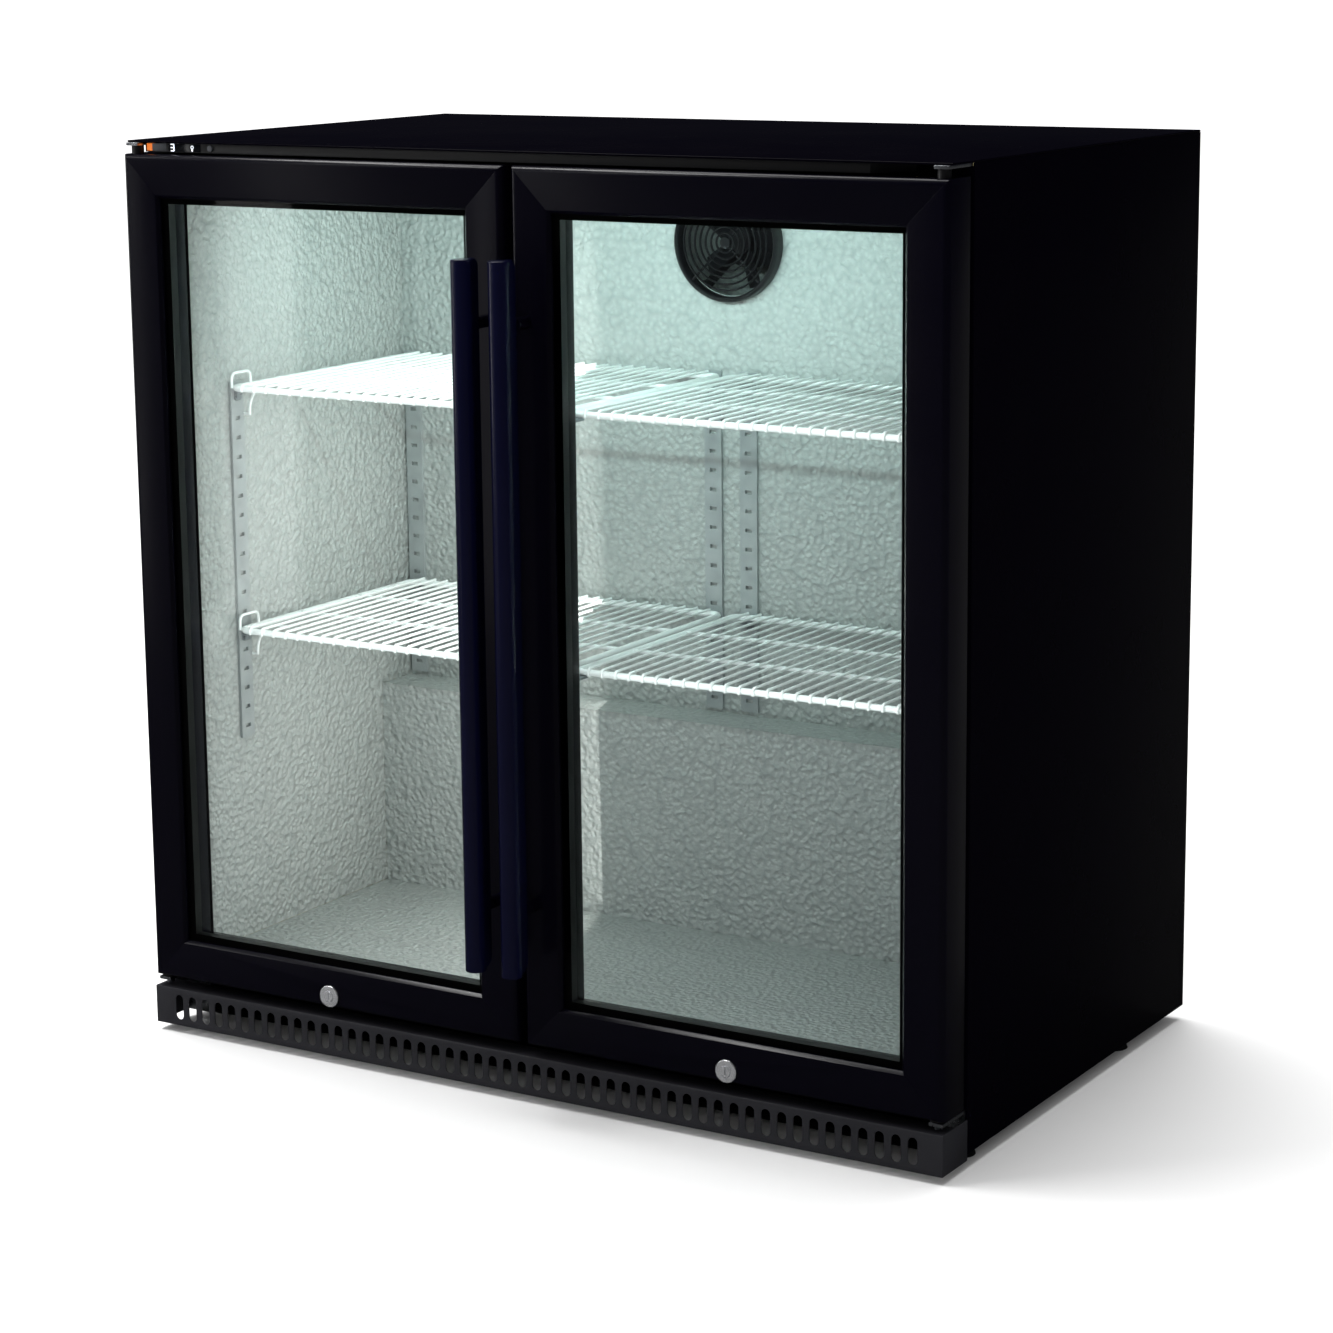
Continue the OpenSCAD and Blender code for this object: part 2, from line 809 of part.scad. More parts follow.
// The quarter-round wire under a shelf's outer front corner, which hooks into the side strip.
module support_hook(level, x) {
    y = side_strip_y + clip_w / 2 + thin_wire + 1;
    top = level + rim_wire / 2 - 0.4;
    bend = [for (a = [0:15:90]) [x - hook_r + hook_r * cos(a), y, top - hook_r + hook_r * sin(a)]];
    wire(concat([[x, y, top - hook_r - 5]], bend, [[x - hook_r - wire_pitch, y, top]]), thin_wire / 2);
    rod([x, y, top - hook_r - 4], [x_in - strip_t - 0.3, y, top - hook_r - 4], thin_wire / 2 - 0.1);
}

// A bent wire through points, with a ball at each bend.
module wire(points, r) {
    for (i = [0:len(points) - 2])
        rod(points[i], points[i + 1], r);
    for (i = [1:len(points) - 2])
        translate(points[i]) sphere(r = r + 0.05, $fn = 16);
}

module shelf(level) {
    rim = rim_wire / 2;
    thin = thin_wire / 2;
    x0 = shelf_x0 + rim;
    x1 = shelf_x1 - rim;
    count = floor((x1 - x0) / wire_pitch);
    step = (x1 - x0) / count;
    wire_z = level + rim + thin - wire_sink;
    for (y = [shelf_y0, shelf_y1])
        rod([x0 - rim, y, level], [x1 + rim, y, level], rim);
    for (x = [x0, x1])
        rod([x, shelf_y0, level], [x, shelf_y1, level], rim - 0.4);
    for (y = [shelf_y0 + (shelf_y1 - shelf_y0) / 3, shelf_y1 - (shelf_y1 - shelf_y0) / 3])
        rod([x0, y, level + rim - 2], [x1, y, level + rim - 2], 2);
    for (i = [0:count])
        rod([x0 + i * step, shelf_y0 - 1.5, wire_z], [x0 + i * step, shelf_y1 + 1.5, wire_z], thin);
    corner_stop(level, x1);
    support_hook(level, x1);
}

module shelves_upper() {
    color(wire_white) place() both_sides() shelf(shelf_upper_z);
}

module shelves_lower() {
    color(wire_white) place() both_sides() shelf(shelf_lower_z);
}

// ---- Fans and evaporator ----

ring_w = 2;
ring_t = 3;
ring_pitch = 6.4;
guard_y = duct_y - guard_d;

module ring(r0, r1, h) {
    rotate_extrude() translate([r0, 0]) square([r1 - r0, h]);
}

module fan_guard() {
    color(rubber_black) place()
        translate([0, guard_y, fan_z])
            rotate([-90, 0, 0]) {
                ring(guard_r - 4, guard_r, guard_d);
                for (r = [ring_pitch + 1:ring_pitch:guard_r - 4])
                    ring(r, r + ring_w, ring_t);
                cylinder(r = 4, h = ring_t);
                for (a = [45:90:359])
                    rotate([0, 0, a]) translate([2, -1.5, 0.5]) cube([guard_r - 4, 3, ring_t + 1]);
            }
}

// A fan rotor on the Z axis, with its front at z = 0.
module rotor(blade_r, hub_r, depth, blades, lean) {
    difference() {
        union() {
            cylinder(r = hub_r, h = depth);
            intersection() {
                translate([0, 0, -1]) ring(hub_r - 2, blade_r, depth + 2);
                for (i = [0:blades - 1])
                    rotate([0, 0, i * 360 / blades])
                        translate([hub_r - 2, 0, depth / 2])
                            rotate([lean, 0, 0])
                                translate([0, -depth * 0.8, -0.8])
                                    cube([blade_r, depth * 1.6, 1.6]);
            }
        }
        translate([0, 0, -1]) cylinder(r = shaft_r + hub_clear, h = depth + 2);
    }
}

// A motor on the Z axis, with its shaft reaching to z = 0 and its body from z = gap.
module motor(gap, arm, post_h, post_up) {
    cylinder(r = shaft_r, h = gap + 2);
    translate([0, 0, gap]) cylinder(r = motor_r, h = motor_len);
    translate([0, 0, gap - 3]) cylinder(r = 9, h = 4);
    for (a = [0, 90])
        rotate([0, 0, a + 45]) translate([-arm, -5, gap]) cube([2 * arm, 10, 2]);
    for (a = [45:90:359])
        rotate([0, 0, a]) translate([arm - 5, 0, gap - post_h]) cylinder(r = 3.5, h = post_h + post_up);
}

evap_rotor_d = 16;
cond_rotor_d = 20;
hub_r = 14;

module evap_fan_motor() {
    color("#3b3d42") place()
        translate([0, evap_blade_y, fan_z])
            rotate([-90, 0, 0])
                motor(evap_motor_y - evap_blade_y + 4, guard_r + 10,
                      evap_motor_y + 4 - duct_y - liner_t, 1);
}

module evap_fan_blade() {
    color(rubber_black) place()
        translate([0, evap_blade_y, fan_z])
            rotate([-90, 0, 0]) rotor(evap_blade_r, hub_r, evap_rotor_d, 5, 35);
}

// Fins across a run of tubes, between two corners.
module finned_block(lo, hi, fins, rows, tube_r) {
    pitch = (hi.x - lo.x - 2) / (fins - 1);
    rise = (hi.z - lo.z) / rows;
    for (i = [0:fins - 1])
        span([lo.x + i * pitch, lo.y, lo.z], [lo.x + i * pitch + 2, hi.y, hi.z]);
    for (row = [0:rows - 1])
        rod([lo.x + 0.5, (lo.y + hi.y) / 2, lo.z + (row + 0.5) * rise],
            [hi.x - 0.5, (lo.y + hi.y) / 2, lo.z + (row + 0.5) * rise], tube_r);
}

module evaporator_coil() {
    color(fin_grey) place()
        finned_block([-coil_x, coil_y0, coil_z0], [coil_x, coil_y0 + coil_d, coil_z1], 25, 6, 5);
}

module condenser_coil() {
    color(fin_grey) place()
        finned_block([cond_x0, cond_y0, cond_z0], [cond_x1, cond_y0 + cond_d, cond_z0 + cond_h], 21, 5, 5);
}

module fan_shroud() {
    color(paint_black) place() {
        plate_y(shroud_y, shroud_t)
            difference() {
                translate([cond_x0, cond_z0]) square([cond_w, cond_h]);
                translate([cond_mid, cond_fan_z]) circle(r = cond_blade_r + 5);
            }
        translate([cond_mid, shroud_y + shroud_t - 0.2, cond_fan_z])
            rotate([-90, 0, 0]) ring(cond_blade_r + 4, cond_blade_r + 6, shroud_ring_d);
        for (a = [45:90:359])
            translate([cond_mid, 0, cond_fan_z]) rotate([0, a, 0])
                translate([cond_blade_r + 12, 0, 0]) along_y(5, shroud_y + 0.5, cond_motor_y);
    }
}

module condenser_fan_motor() {
    color("#3b3d42") place()
        translate([cond_mid, cond_blade_y, cond_fan_z])
            rotate([-90, 0, 0]) motor(cond_motor_y - cond_blade_y, cond_blade_r + 17, 0, 4);
}

module condenser_fan_blade() {
    color(fin_grey) place()
        translate([cond_mid, cond_blade_y - cond_rotor_d / 2, cond_fan_z])
            rotate([-90, 0, 0]) rotor(cond_blade_r, hub_r, cond_rotor_d, 5, 32);
}

// ---- Machine compartment ----

module compressor() {
    dome = 22;
    color(paint_black) place()
        translate([comp_x, comp_y, 0]) {
            translate([0, 0, comp_z0])
                rotate_extrude()
                    polygon(concat(
                        [[0, 0]],
                        arc(comp_r - dome, dome, dome, -90, 0, 8),
                        arc(comp_r - dome, comp_h - dome, dome, 0, 90, 8),
                        [[0, comp_h]]));
            translate([0, 0, comp_z0 - 1])
                span([-comp_plate / 2, -comp_plate / 2, 0], [comp_plate / 2, comp_plate / 2, comp_plate_t]);
            for (x = [-1, 1], y = [-1, 1])
                translate([x * (comp_plate / 2 - 12), y * (comp_plate / 2 - 12), base_top])
                    cylinder(r = grommet_r, h = comp_z0 + comp_plate_t + 2 - base_top);
            translate([comp_r - 12, -22, comp_z0 + 60]) cube([28, 44, 52]);
        }
}

module refrigerant_pipes() {
    top = comp_z0 + comp_h;
    lift = machine_z - 18;
    coil_end_y = coil_y0 + coil_d / 2;
    color(copper) place() {
        pipe([[comp_x - 30, comp_y - 30, top - 1 + 2], [comp_x - 30, comp_y - 30, lift],
              [riser_x, comp_y - 30, lift], [riser_x, riser_y, lift], [riser_x, riser_y, coil_z0 + 14],
              [-coil_x - 20, riser_y, coil_z0 + 14], [-coil_x - 20, coil_end_y, coil_z0 + 14],
              [-coil_x - 0.2, coil_end_y, coil_z0 + 14]], pipe_r);
        pipe([[comp_x + 30, comp_y - 30, top - 1 + 2], [comp_x + 30, comp_y - 30, lift - 12],
              [cond_x0 - 22, comp_y - 30, lift - 12], [cond_x0 - 22, cond_y0 + cond_d / 2, lift - 12],
              [cond_x0 - 22, cond_y0 + cond_d / 2, cond_z0 + cond_h - 20],
              [cond_x0 - 0.2, cond_y0 + cond_d / 2, cond_z0 + cond_h - 20]], pipe_r);
    }
}

tray_t = 2;
tray_h = 26;
tray_x0 = comp_x + comp_plate / 2 + 24;
tray_x1 = cond_x0 - 14;

module drip_tray() {
    color("#55585c") place()
        difference() {
            span([tray_x0, machine_y + 12, base_top], [tray_x1, rear_y - 14, base_top + tray_h]);
            span([tray_x0 + tray_t, machine_y + 12 + tray_t, base_top + tray_t],
                 [tray_x1 - tray_t, rear_y - 14 - tray_t, base_top + tray_h + 1]);
        }
}

module cable_gland() {
    color(rubber_black) place()
        translate([gland_x, 0, gland_z])
            difference() {
                union() {
                    along_y(gland_r, body_y1 + screw_head_t - gland_len, body_y1 + 0.5);
                    along_y(gland_r + 3, body_y1, body_y1 + screw_head_t);
                }
                along_y(gland_bore_r, body_y1 - gland_len, body_y1 + screw_head_t + 1);
            }
}

// A screw on a face at Y = 0, with its head towards the viewer in front.
module screw(depth) {
    along_y(screw_head_r, -screw_head_t, 0);
    along_y(screw_r, -0.5, depth);
}

module cabinet_screws() {
    color(zinc) place() {
        for (p = concat(panel_screws, cover_screws))
            translate([p.x, body_y1, p.y]) mirror([0, 1, 0]) screw(sheet_t);
        for (p = duct_screws)
            translate([p.x, duct_y, p.y]) screw(liner_t);
        both_sides()
            for (drop = leg_drops)
                translate([leg_screw_x, body_y0 - bracket_t, bracket_z - drop]) screw(bracket_t + sheet_t);
    }
}

// ---- Doors ----
// A door's own frame: X from the hinge edge, Y from the front face, Z from the bottom edge.

frame_section = concat(
    arc(frame_r, frame_r, frame_r, 180, 270, 8),
    [[frame_w - bead, 0], [frame_w, bead], [frame_w, glass_y], [slot_u, glass_y],
     [slot_u, glass_y1], [frame_w, glass_y1], [frame_w, door_t], [0, door_t]]);

module mitre(points) {
    translate([0, door_t + 1, 0]) rotate([90, 0, 0]) linear_extrude(door_t + 2) polygon(points);
}

module stile() {
    intersection() {
        linear_extrude(door_h) polygon(frame_section);
        mitre([[0, 0], [frame_w, frame_w], [frame_w, door_h - frame_w], [0, door_h]]);
    }
}

module rail() {
    intersection() {
        mirror([0, 0, 1]) rotate([0, 90, 0]) linear_extrude(door_w) polygon(frame_section);
        mitre([[0, 0], [door_w, 0], [door_w - frame_w, frame_w], [frame_w, frame_w]]);
    }
}

// Room for the two bushes, in the door's own frame
module bush_bores() {
    translate([hinge_in, hinge_y, -1]) cylinder(r = bush_r, h = pin_depth + bush_floor + 1);
    translate([hinge_in, hinge_y, door_h - pin_depth - bush_floor])
        cylinder(r = bush_r, h = pin_depth + bush_floor + 1);
}

module lock_pocket() {
    half = sqrt(2) * cam_w / 2;
    translate([lock_a, 0, lock_up]) along_y(lock_body_dia / 2, -1, lock_depth + 1);
    span([lock_a - half - pocket_clear, lock_depth, -1],
         [lock_a + cam_len + pocket_clear, lock_depth + pocket_d, lock_up + half + 1]);
}

module frame_stiles(side) {
    color(door_black) on_door(side)
        difference() {
            union() {
                stile();
                translate([door_w, 0, 0]) mirror([1, 0, 0]) stile();
            }
            bush_bores();
        }
}

module frame_rails(side) {
    color(door_black) on_door(side)
        difference() {
            union() {
                rail();
                translate([0, 0, door_h]) mirror([0, 0, 1]) rail();
            }
            bush_bores();
            lock_pocket();
        }
}

// A flat ring round the door: its outer edge lies in by "inset" and it is "w" wide.
module door_ring(inset, w, y0, y1) {
    difference() {
        span([inset, y0, inset], [door_w - inset, y1, door_h - inset]);
        span([inset + w, y0 - 1, inset + w], [door_w - inset - w, y1 + 1, door_h - inset - w]);
    }
}

module glass_panes(side) {
    e = slot_u + glass_edge;
    y0 = glass_y + glass_fit;
    color(glass_tint) on_door(side) {
        span([e, y0, e], [door_w - e, y0 + pane_t, door_h - e]);
        span([e, y0 + pane_t + pane_gap, e], [door_w - e, y0 + 2 * pane_t + pane_gap, door_h - e]);
    }
}

module glass_spacer(side) {
    y0 = glass_y + glass_fit + pane_t;
    color(rubber_black) on_door(side) door_ring(slot_u + 4, spacer_w, y0, y0 + pane_gap);
}

module door_seal(side) {
    color(rubber_black) on_door(side) door_ring(seal_in, seal_w, door_t, body_y0 - seal_clear);
}

module handle_bar(side) {
    fin_len = handle_len;
    color(door_black) on_door(side)
        translate([handle_a, 0, handle_z0]) {
            translate([0, grip_y, 0]) cylinder(r = grip_dia / 2, h = handle_len);
            translate([-fin_t / 2, 0, 0])
                rotate([90, 0, 90])
                    linear_extrude(fin_t)
                        polygon(concat(
                            [[grip_y, fin_len], [grip_y, 0]],
                            arc(fin_y - fin_r, fin_r, fin_r, -90, 0, 8),
                            arc(fin_y - fin_r, fin_len - fin_r, fin_r, 0, 90, 8)));
        }
}

module handle_posts(side) {
    color(door_black) on_door(side)
        for (z = [post_in, handle_len - post_in])
            translate([handle_a, 0, handle_z0 + z]) along_y(post_dia / 2, fin_y, 0);
}

module hinge_bushes(side) {
    color("#e8e6e0") on_door(side)
        translate([hinge_in, hinge_y, 0]) {
            low = bracket_z + bracket_t + bush_play - door_z0;
            high = rail_top_z - bush_play - door_z0;
            difference() {
                union() {
                    translate([0, 0, low]) cylinder(r = bush_flange_r, h = -low);
                    translate([0, 0, low / 2]) cylinder(r = bush_r, h = pin_depth + bush_floor - low / 2);
                }
                translate([0, 0, low - 1]) cylinder(r = pin_dia / 2 + pin_clear, h = pin_depth + 1.5 - low);
            }
            difference() {
                translate([0, 0, door_h - pin_depth - bush_floor])
                    cylinder(r = bush_r, h = high - door_h + pin_depth + bush_floor);
                translate([0, 0, door_h - pin_depth - 0.5])
                    cylinder(r = pin_dia / 2 + pin_clear, h = high - door_h + pin_depth + 2);
            }
        }
}

module lock_housing(side) {
    color(chrome) on_door(side)
        translate([lock_a, 0, lock_up])
            difference() {
                union() {
                    along_y(lock_rim_dia / 2, -rim_t, 0);
                    along_y(lock_body_dia / 2, -rim_t / 2, lock_depth);
                }
                along_y(plug_dia / 2 + plug_clear, -rim_t - 1, lock_depth + 1);
            }
}

module lock_plug(side) {
    cam_y = lock_depth + cam_gap;
    color(chrome) on_door(side)
        translate([lock_a, 0, lock_up]) {
            difference() {
                along_y(plug_dia / 2, -rim_t - plug_proud, cam_y + 0.5);
                span([-0.7, -rim_t - plug_proud - 1, -3.2], [0.7, -rim_t + 3, 3.2]);
            }
            difference() {
                span([-cam_w / 2, cam_y, -cam_w / 2], [cam_len, cam_y + cam_t, cam_w / 2]);
                translate([cam_len - 6, 0, 0]) along_y(1.8, cam_y - 1, cam_y + cam_t + 1);
            }
            along_y(3.5, cam_y + cam_t - 0.5, cam_y + cam_t + 3);
        }
}

side_panel_left();
side_panel_right();
top_panel();
back_panel();
rear_cover();
base_pan();
insulation_foam();
liner_sides();
liner_ceiling();
liner_floor();
rear_liner();
duct_cover();
mullion();
front_rails();
kick_grille();
control_fascia();
display_window();
light_switch();
set_key();
hinge_brackets();
led_bar();
led_diffuser();
pilasters();
shelf_clips();
shelves_upper();
shelves_lower();
fan_guard();
evap_fan_motor();
evap_fan_blade();
evaporator_coil();
compressor();
condenser_coil();
fan_shroud();
condenser_fan_motor();
condenser_fan_blade();
refrigerant_pipes();
drip_tray();
levelling_feet();
cable_gland();
cabinet_screws();
frame_stiles(-1);  // frame_stiles_left
frame_rails(-1);  // frame_rails_left
glass_panes(-1);  // glass_panes_left
glass_spacer(-1);  // glass_spacer_left
door_seal(-1);  // door_seal_left
handle_bar(-1);  // handle_bar_left
handle_posts(-1);  // handle_posts_left
hinge_bushes(-1);  // hinge_bushes_left
lock_housing(-1);  // lock_housing_left
lock_plug(-1);  // lock_plug_left
frame_stiles(1);  // frame_stiles_right
frame_rails(1);  // frame_rails_right
glass_panes(1);  // glass_panes_right
glass_spacer(1);  // glass_spacer_right
door_seal(1);  // door_seal_right
handle_bar(1);  // handle_bar_right
handle_posts(1);  // handle_posts_right
hinge_bushes(1);  // hinge_bushes_right
lock_housing(1);  // lock_housing_right
lock_plug(1);  // lock_plug_right
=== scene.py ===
import json
import math

import bmesh
import bpy
from mathutils import Matrix, Vector


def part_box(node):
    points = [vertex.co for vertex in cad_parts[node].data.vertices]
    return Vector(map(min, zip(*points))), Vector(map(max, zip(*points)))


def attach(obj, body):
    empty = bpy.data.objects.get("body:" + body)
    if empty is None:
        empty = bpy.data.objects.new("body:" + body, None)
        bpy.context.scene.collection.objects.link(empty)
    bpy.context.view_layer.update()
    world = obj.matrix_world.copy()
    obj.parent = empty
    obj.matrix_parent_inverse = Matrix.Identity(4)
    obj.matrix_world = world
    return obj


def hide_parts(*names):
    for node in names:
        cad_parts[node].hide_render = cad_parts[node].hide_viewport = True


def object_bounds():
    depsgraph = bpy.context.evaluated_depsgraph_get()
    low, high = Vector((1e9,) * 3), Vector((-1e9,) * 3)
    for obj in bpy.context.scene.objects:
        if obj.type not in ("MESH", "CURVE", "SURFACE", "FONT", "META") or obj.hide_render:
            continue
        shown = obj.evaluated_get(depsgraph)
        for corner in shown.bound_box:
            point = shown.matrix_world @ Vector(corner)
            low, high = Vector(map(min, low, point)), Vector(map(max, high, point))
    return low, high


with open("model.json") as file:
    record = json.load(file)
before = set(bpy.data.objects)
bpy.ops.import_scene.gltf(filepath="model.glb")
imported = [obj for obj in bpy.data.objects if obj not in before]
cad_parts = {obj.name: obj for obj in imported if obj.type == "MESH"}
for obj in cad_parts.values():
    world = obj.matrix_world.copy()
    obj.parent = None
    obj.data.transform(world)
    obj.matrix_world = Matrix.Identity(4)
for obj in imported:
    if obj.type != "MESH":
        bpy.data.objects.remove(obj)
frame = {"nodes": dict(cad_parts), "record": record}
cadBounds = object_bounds()
bodyOf = {node: body for body, nodes in frame["record"]["behaviour"]["bodies"].items() for node in nodes}
slotOf = {part["node"]: part["material_slot"] for part in frame["record"]["subparts"]}
shelfLevels = {"shelves_upper": 0.655, "shelves_lower": 0.406}     # height of each shelf's rim wire
print("frame loaded:", len(frame["nodes"]), "nodes")

# ---- camera, floor and lights ----

cameraValues = {
    "place": (1.7185, -2.7956, 1.0930),
    "yaw": -0.547,      # radians, turned to the left
    "pitch": 0.194,     # looking down
    "roll": -0.010,
    "lens": 90.56,
    "shift": -0.05,
}


def makeCamera(values):
    yaw, pitch, roll = values["yaw"], values["pitch"], values["roll"]
    forward = Vector((math.sin(yaw) * math.cos(pitch), math.cos(yaw) * math.cos(pitch), -math.sin(pitch)))
    right = Vector((math.cos(yaw), -math.sin(yaw), 0))
    up = right.cross(forward)
    side = math.cos(roll) * right + math.sin(roll) * up
    top = math.cos(roll) * up - math.sin(roll) * right
    data = bpy.data.cameras.new("mainCamera")
    data.sensor_width = 36
    data.lens = values["lens"]
    data.shift_y = values["shift"]
    data.clip_end = 200
    camera = bpy.data.objects.new("mainCamera", data)
    turn = Matrix((side, top, -forward)).transposed()
    camera.matrix_world = Matrix.Translation(values["place"]) @ turn.to_4x4()
    bpy.context.scene.collection.objects.link(camera)
    bpy.context.scene.camera = camera


makeCamera(cameraValues)


def toLinear(hexColour):
    parts = [int(hexColour[i:i + 2], 16) / 255 for i in (1, 3, 5)]
    return [c / 12.92 if c <= 0.04045 else ((c + 0.055) / 1.055) ** 2.4 for c in parts] + [1]


def addNode(tree, kind, inputs=None, **settings):
    node = tree.nodes.new(kind)
    for name, value in settings.items():
        setattr(node, name, value)
    for name, value in (inputs or {}).items():
        if isinstance(value, bpy.types.NodeSocket):
            tree.links.new(value, node.inputs[name])
        else:
            node.inputs[name].default_value = value
    return node


def blend(tree, factor, first, second):
    colours = {0: factor, 6: toLinear(first), 7: toLinear(second)}
    return addNode(tree, "ShaderNodeMix", colours, data_type="RGBA").outputs[2]


studio = {
    "background": "#fbfbfb",
    "fillStrength": 0.44,
    "glossStrength": 0.010,   # what black paint has to reflect away from the softboxes
    "floorColour": "#f6f6f6",
    "floorGloss": 0.04,       # how bright the floor is in reflections
    "sunStrength": 3.3,
    "sunAim": (0.22, -0.20, -1),
    "sunSoftness": 50,
    # place, aim, size and watts of the softboxes, which only draw the edges
    "softboxes": {
        "leftSoftbox": ((-3.2, -1.4, 1.6), (0, 0, 0.5), (0.4, 2.4), 18),
        "frontSoftbox": ((-1.9, -2.6, 2.3), (0, -0.3, 0.5), (0.25, 1.4), 5),
        "topSoftbox": ((-1.5, -1.0, 3.0), (0, -0.25, 0.4), (1.8, 0.4), 45),
        "handleSoftbox": ((-1.6, -1.9, 0.8), (0, -0.3, 0.45), (0.12, 1.6), 1.3),
    },
}


def areaLight(name, place, aim, size, power, colour="#ffffff"):
    data = bpy.data.lights.new(name, "AREA")
    data.shape = "RECTANGLE"
    data.size, data.size_y = size
    data.energy = power
    data.color = toLinear(colour)[:3]
    lamp = bpy.data.objects.new(name, data)
    direction = Vector(aim) - Vector(place)
    lamp.matrix_world = Matrix.Translation(place) @ direction.to_track_quat("-Z", "Y").to_matrix().to_4x4()
    bpy.context.scene.collection.objects.link(lamp)
    return lamp


def makeStudio(values):
    scene = bpy.context.scene
    scene.view_settings.view_transform = "Standard"
    world = bpy.data.worlds.new("studioWorld")
    scene.world = world
    world.use_nodes = True
    tree = world.node_tree
    tree.nodes.clear()
    # white behind the object, dim all round it so that black paint stays black
    seen = addNode(tree, "ShaderNodeLightPath")
    white = addNode(tree, "ShaderNodeBackground", {"Color": toLinear(values["background"]), "Strength": 1.0})
    dim = addNode(tree, "ShaderNodeBackground",
                  {"Color": toLinear("#ffffff"), "Strength": values["fillStrength"]})
    dark = addNode(tree, "ShaderNodeBackground",
                   {"Color": toLinear("#c8d0ff"), "Strength": values["glossStrength"]})
    around = addNode(tree, "ShaderNodeMixShader",
                     {0: seen.outputs["Is Glossy Ray"], 1: dim.outputs[0], 2: dark.outputs[0]})
    mix = addNode(tree, "ShaderNodeMixShader",
                  {0: seen.outputs["Is Camera Ray"], 1: around.outputs[0], 2: white.outputs[0]})
    addNode(tree, "ShaderNodeOutputWorld", {"Surface": mix.outputs[0]})

    paper = bpy.data.materials.new("studioPaper")
    paper.use_nodes = True
    tree = paper.node_tree
    tree.nodes.clear()
    coords = addNode(tree, "ShaderNodeTexCoord")
    grain = addNode(tree, "ShaderNodeTexNoise",
                    {"Vector": coords.outputs["Object"], "Scale": 6.0, "Detail": 3.0})
    seen = addNode(tree, "ShaderNodeLightPath")
    tone = blend(tree, grain.outputs[0], values["floorColour"], "#f9f9f9")
    lit = addNode(tree, "ShaderNodeBsdfDiffuse", {"Color": tone})
    low = addNode(tree, "ShaderNodeBsdfDiffuse", {"Color": [values["floorGloss"]] * 3 + [1]})
    mix = addNode(tree, "ShaderNodeMixShader",
                  {0: seen.outputs["Is Glossy Ray"], 1: lit.outputs[0], 2: low.outputs[0]})
    addNode(tree, "ShaderNodeOutputMaterial", {"Surface": mix.outputs[0]})

    bm = bmesh.new()
    bmesh.ops.create_grid(bm, x_segments=4, y_segments=4, size=60)
    mesh = bpy.data.meshes.new("studioFloor")
    bm.to_mesh(mesh)
    bm.free()
    mesh.materials.append(paper)
    floor = bpy.data.objects.new("studioFloor", mesh)
    scene.collection.objects.link(floor)

    sun = bpy.data.lights.new("softSun", "SUN")
    sun.energy = values["sunStrength"]
    sun.angle = math.radians(values["sunSoftness"])
    lamp = bpy.data.objects.new("softSun", sun)
    lamp.matrix_world = Vector(values["sunAim"]).to_track_quat("-Z", "Y").to_matrix().to_4x4()
    scene.collection.objects.link(lamp)

    for name, (place, aim, size, power) in values["softboxes"].items():
        areaLight(name, place, aim, size, power)


makeStudio(studio)

bayValues = {
    "ledWatts": 2.9,
    "ledDrop": 0.006,         # under the diffuser
    "ledShorter": 0.22,       # than the diffuser, so that the side walls aren't striped
    "ledDepth": 0.012,
    "wallWatts": 2.25,
    "wallPlace": (-0.09, -0.015, 0.44),
    "wallAim": (-1.03, -0.355, 0.43),
    "wallSize": (0.34, 0.70),
    "doorWatts": 1.8,
    "doorHeight": 0.455,
    "doorSize": (0.80, 0.76),
    "shelfWatts": 0.15,
    "shelfRise": 0.012,       # above the rim wire
    "shelfSize": (0.78, 0.008),
}


def bayLight(name, place, aim, size, power, colour):
    # a lamp that is never seen itself
    lamp = areaLight(name, place, aim, size, power, colour)
    lamp.visible_camera = False
    lamp.visible_glossy = False
    lamp.visible_transmission = False


def lightBays(values):
    low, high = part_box("led_diffuser")
    middle = (low.y + high.y) / 2
    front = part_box("mullion")[0].y
    bayLight("ledLamp", (0, middle, low.z - values["ledDrop"]), (0, middle + 1, low.z - 0.12),
             (high.x - low.x - values["ledShorter"], values["ledDepth"]), values["ledWatts"], "#dcfbfa")
    bayLight("wallFill", values["wallPlace"], values["wallAim"], values["wallSize"],
             values["wallWatts"], "#fffcfa")
    bayLight("doorFill", (0, front + 0.002, values["doorHeight"]), (0, 1, 0.44), values["doorSize"],
             values["doorWatts"], "#f6fbff")
    for level in shelfLevels.values():
        bayLight("shelfFill", (0, front + 0.004, level + values["shelfRise"]), (0, 1, level - 0.20),
                 values["shelfSize"], values["shelfWatts"], "#ffffff")


lightBays(bayValues)
print("camera, floor and lights ready")

# ---- materials ----


def newMaterial(name, colour, metallic=0.0, roughness=0.5, **sockets):
    material = bpy.data.materials.new(name)
    material.use_nodes = True
    tree = material.node_tree
    shader = tree.nodes["Principled BSDF"]
    shader.inputs["Base Color"].default_value = toLinear(colour)
    shader.inputs["Metallic"].default_value = metallic
    shader.inputs["Roughness"].default_value = roughness
    for socket, value in sockets.items():
        shader.inputs[socket.replace("_", " ")].default_value = value
    coords = addNode(tree, "ShaderNodeTexCoord")
    return material, tree, shader, coords.outputs["Object"]


def perMetre(millimetres):
    return 1000 / millimetres


def noise(tree, where, millimetres, detail, **inputs):
    inputs = {"Vector": where, "Scale": perMetre(millimetres), "Detail": detail, **inputs}
    return addNode(tree, "ShaderNodeTexNoise", inputs).outputs[0]


def spread(tree, value, low, high):
    return addNode(tree, "ShaderNodeMapRange", {"Value": value, "To Min": low, "To Max": high}).outputs[0]


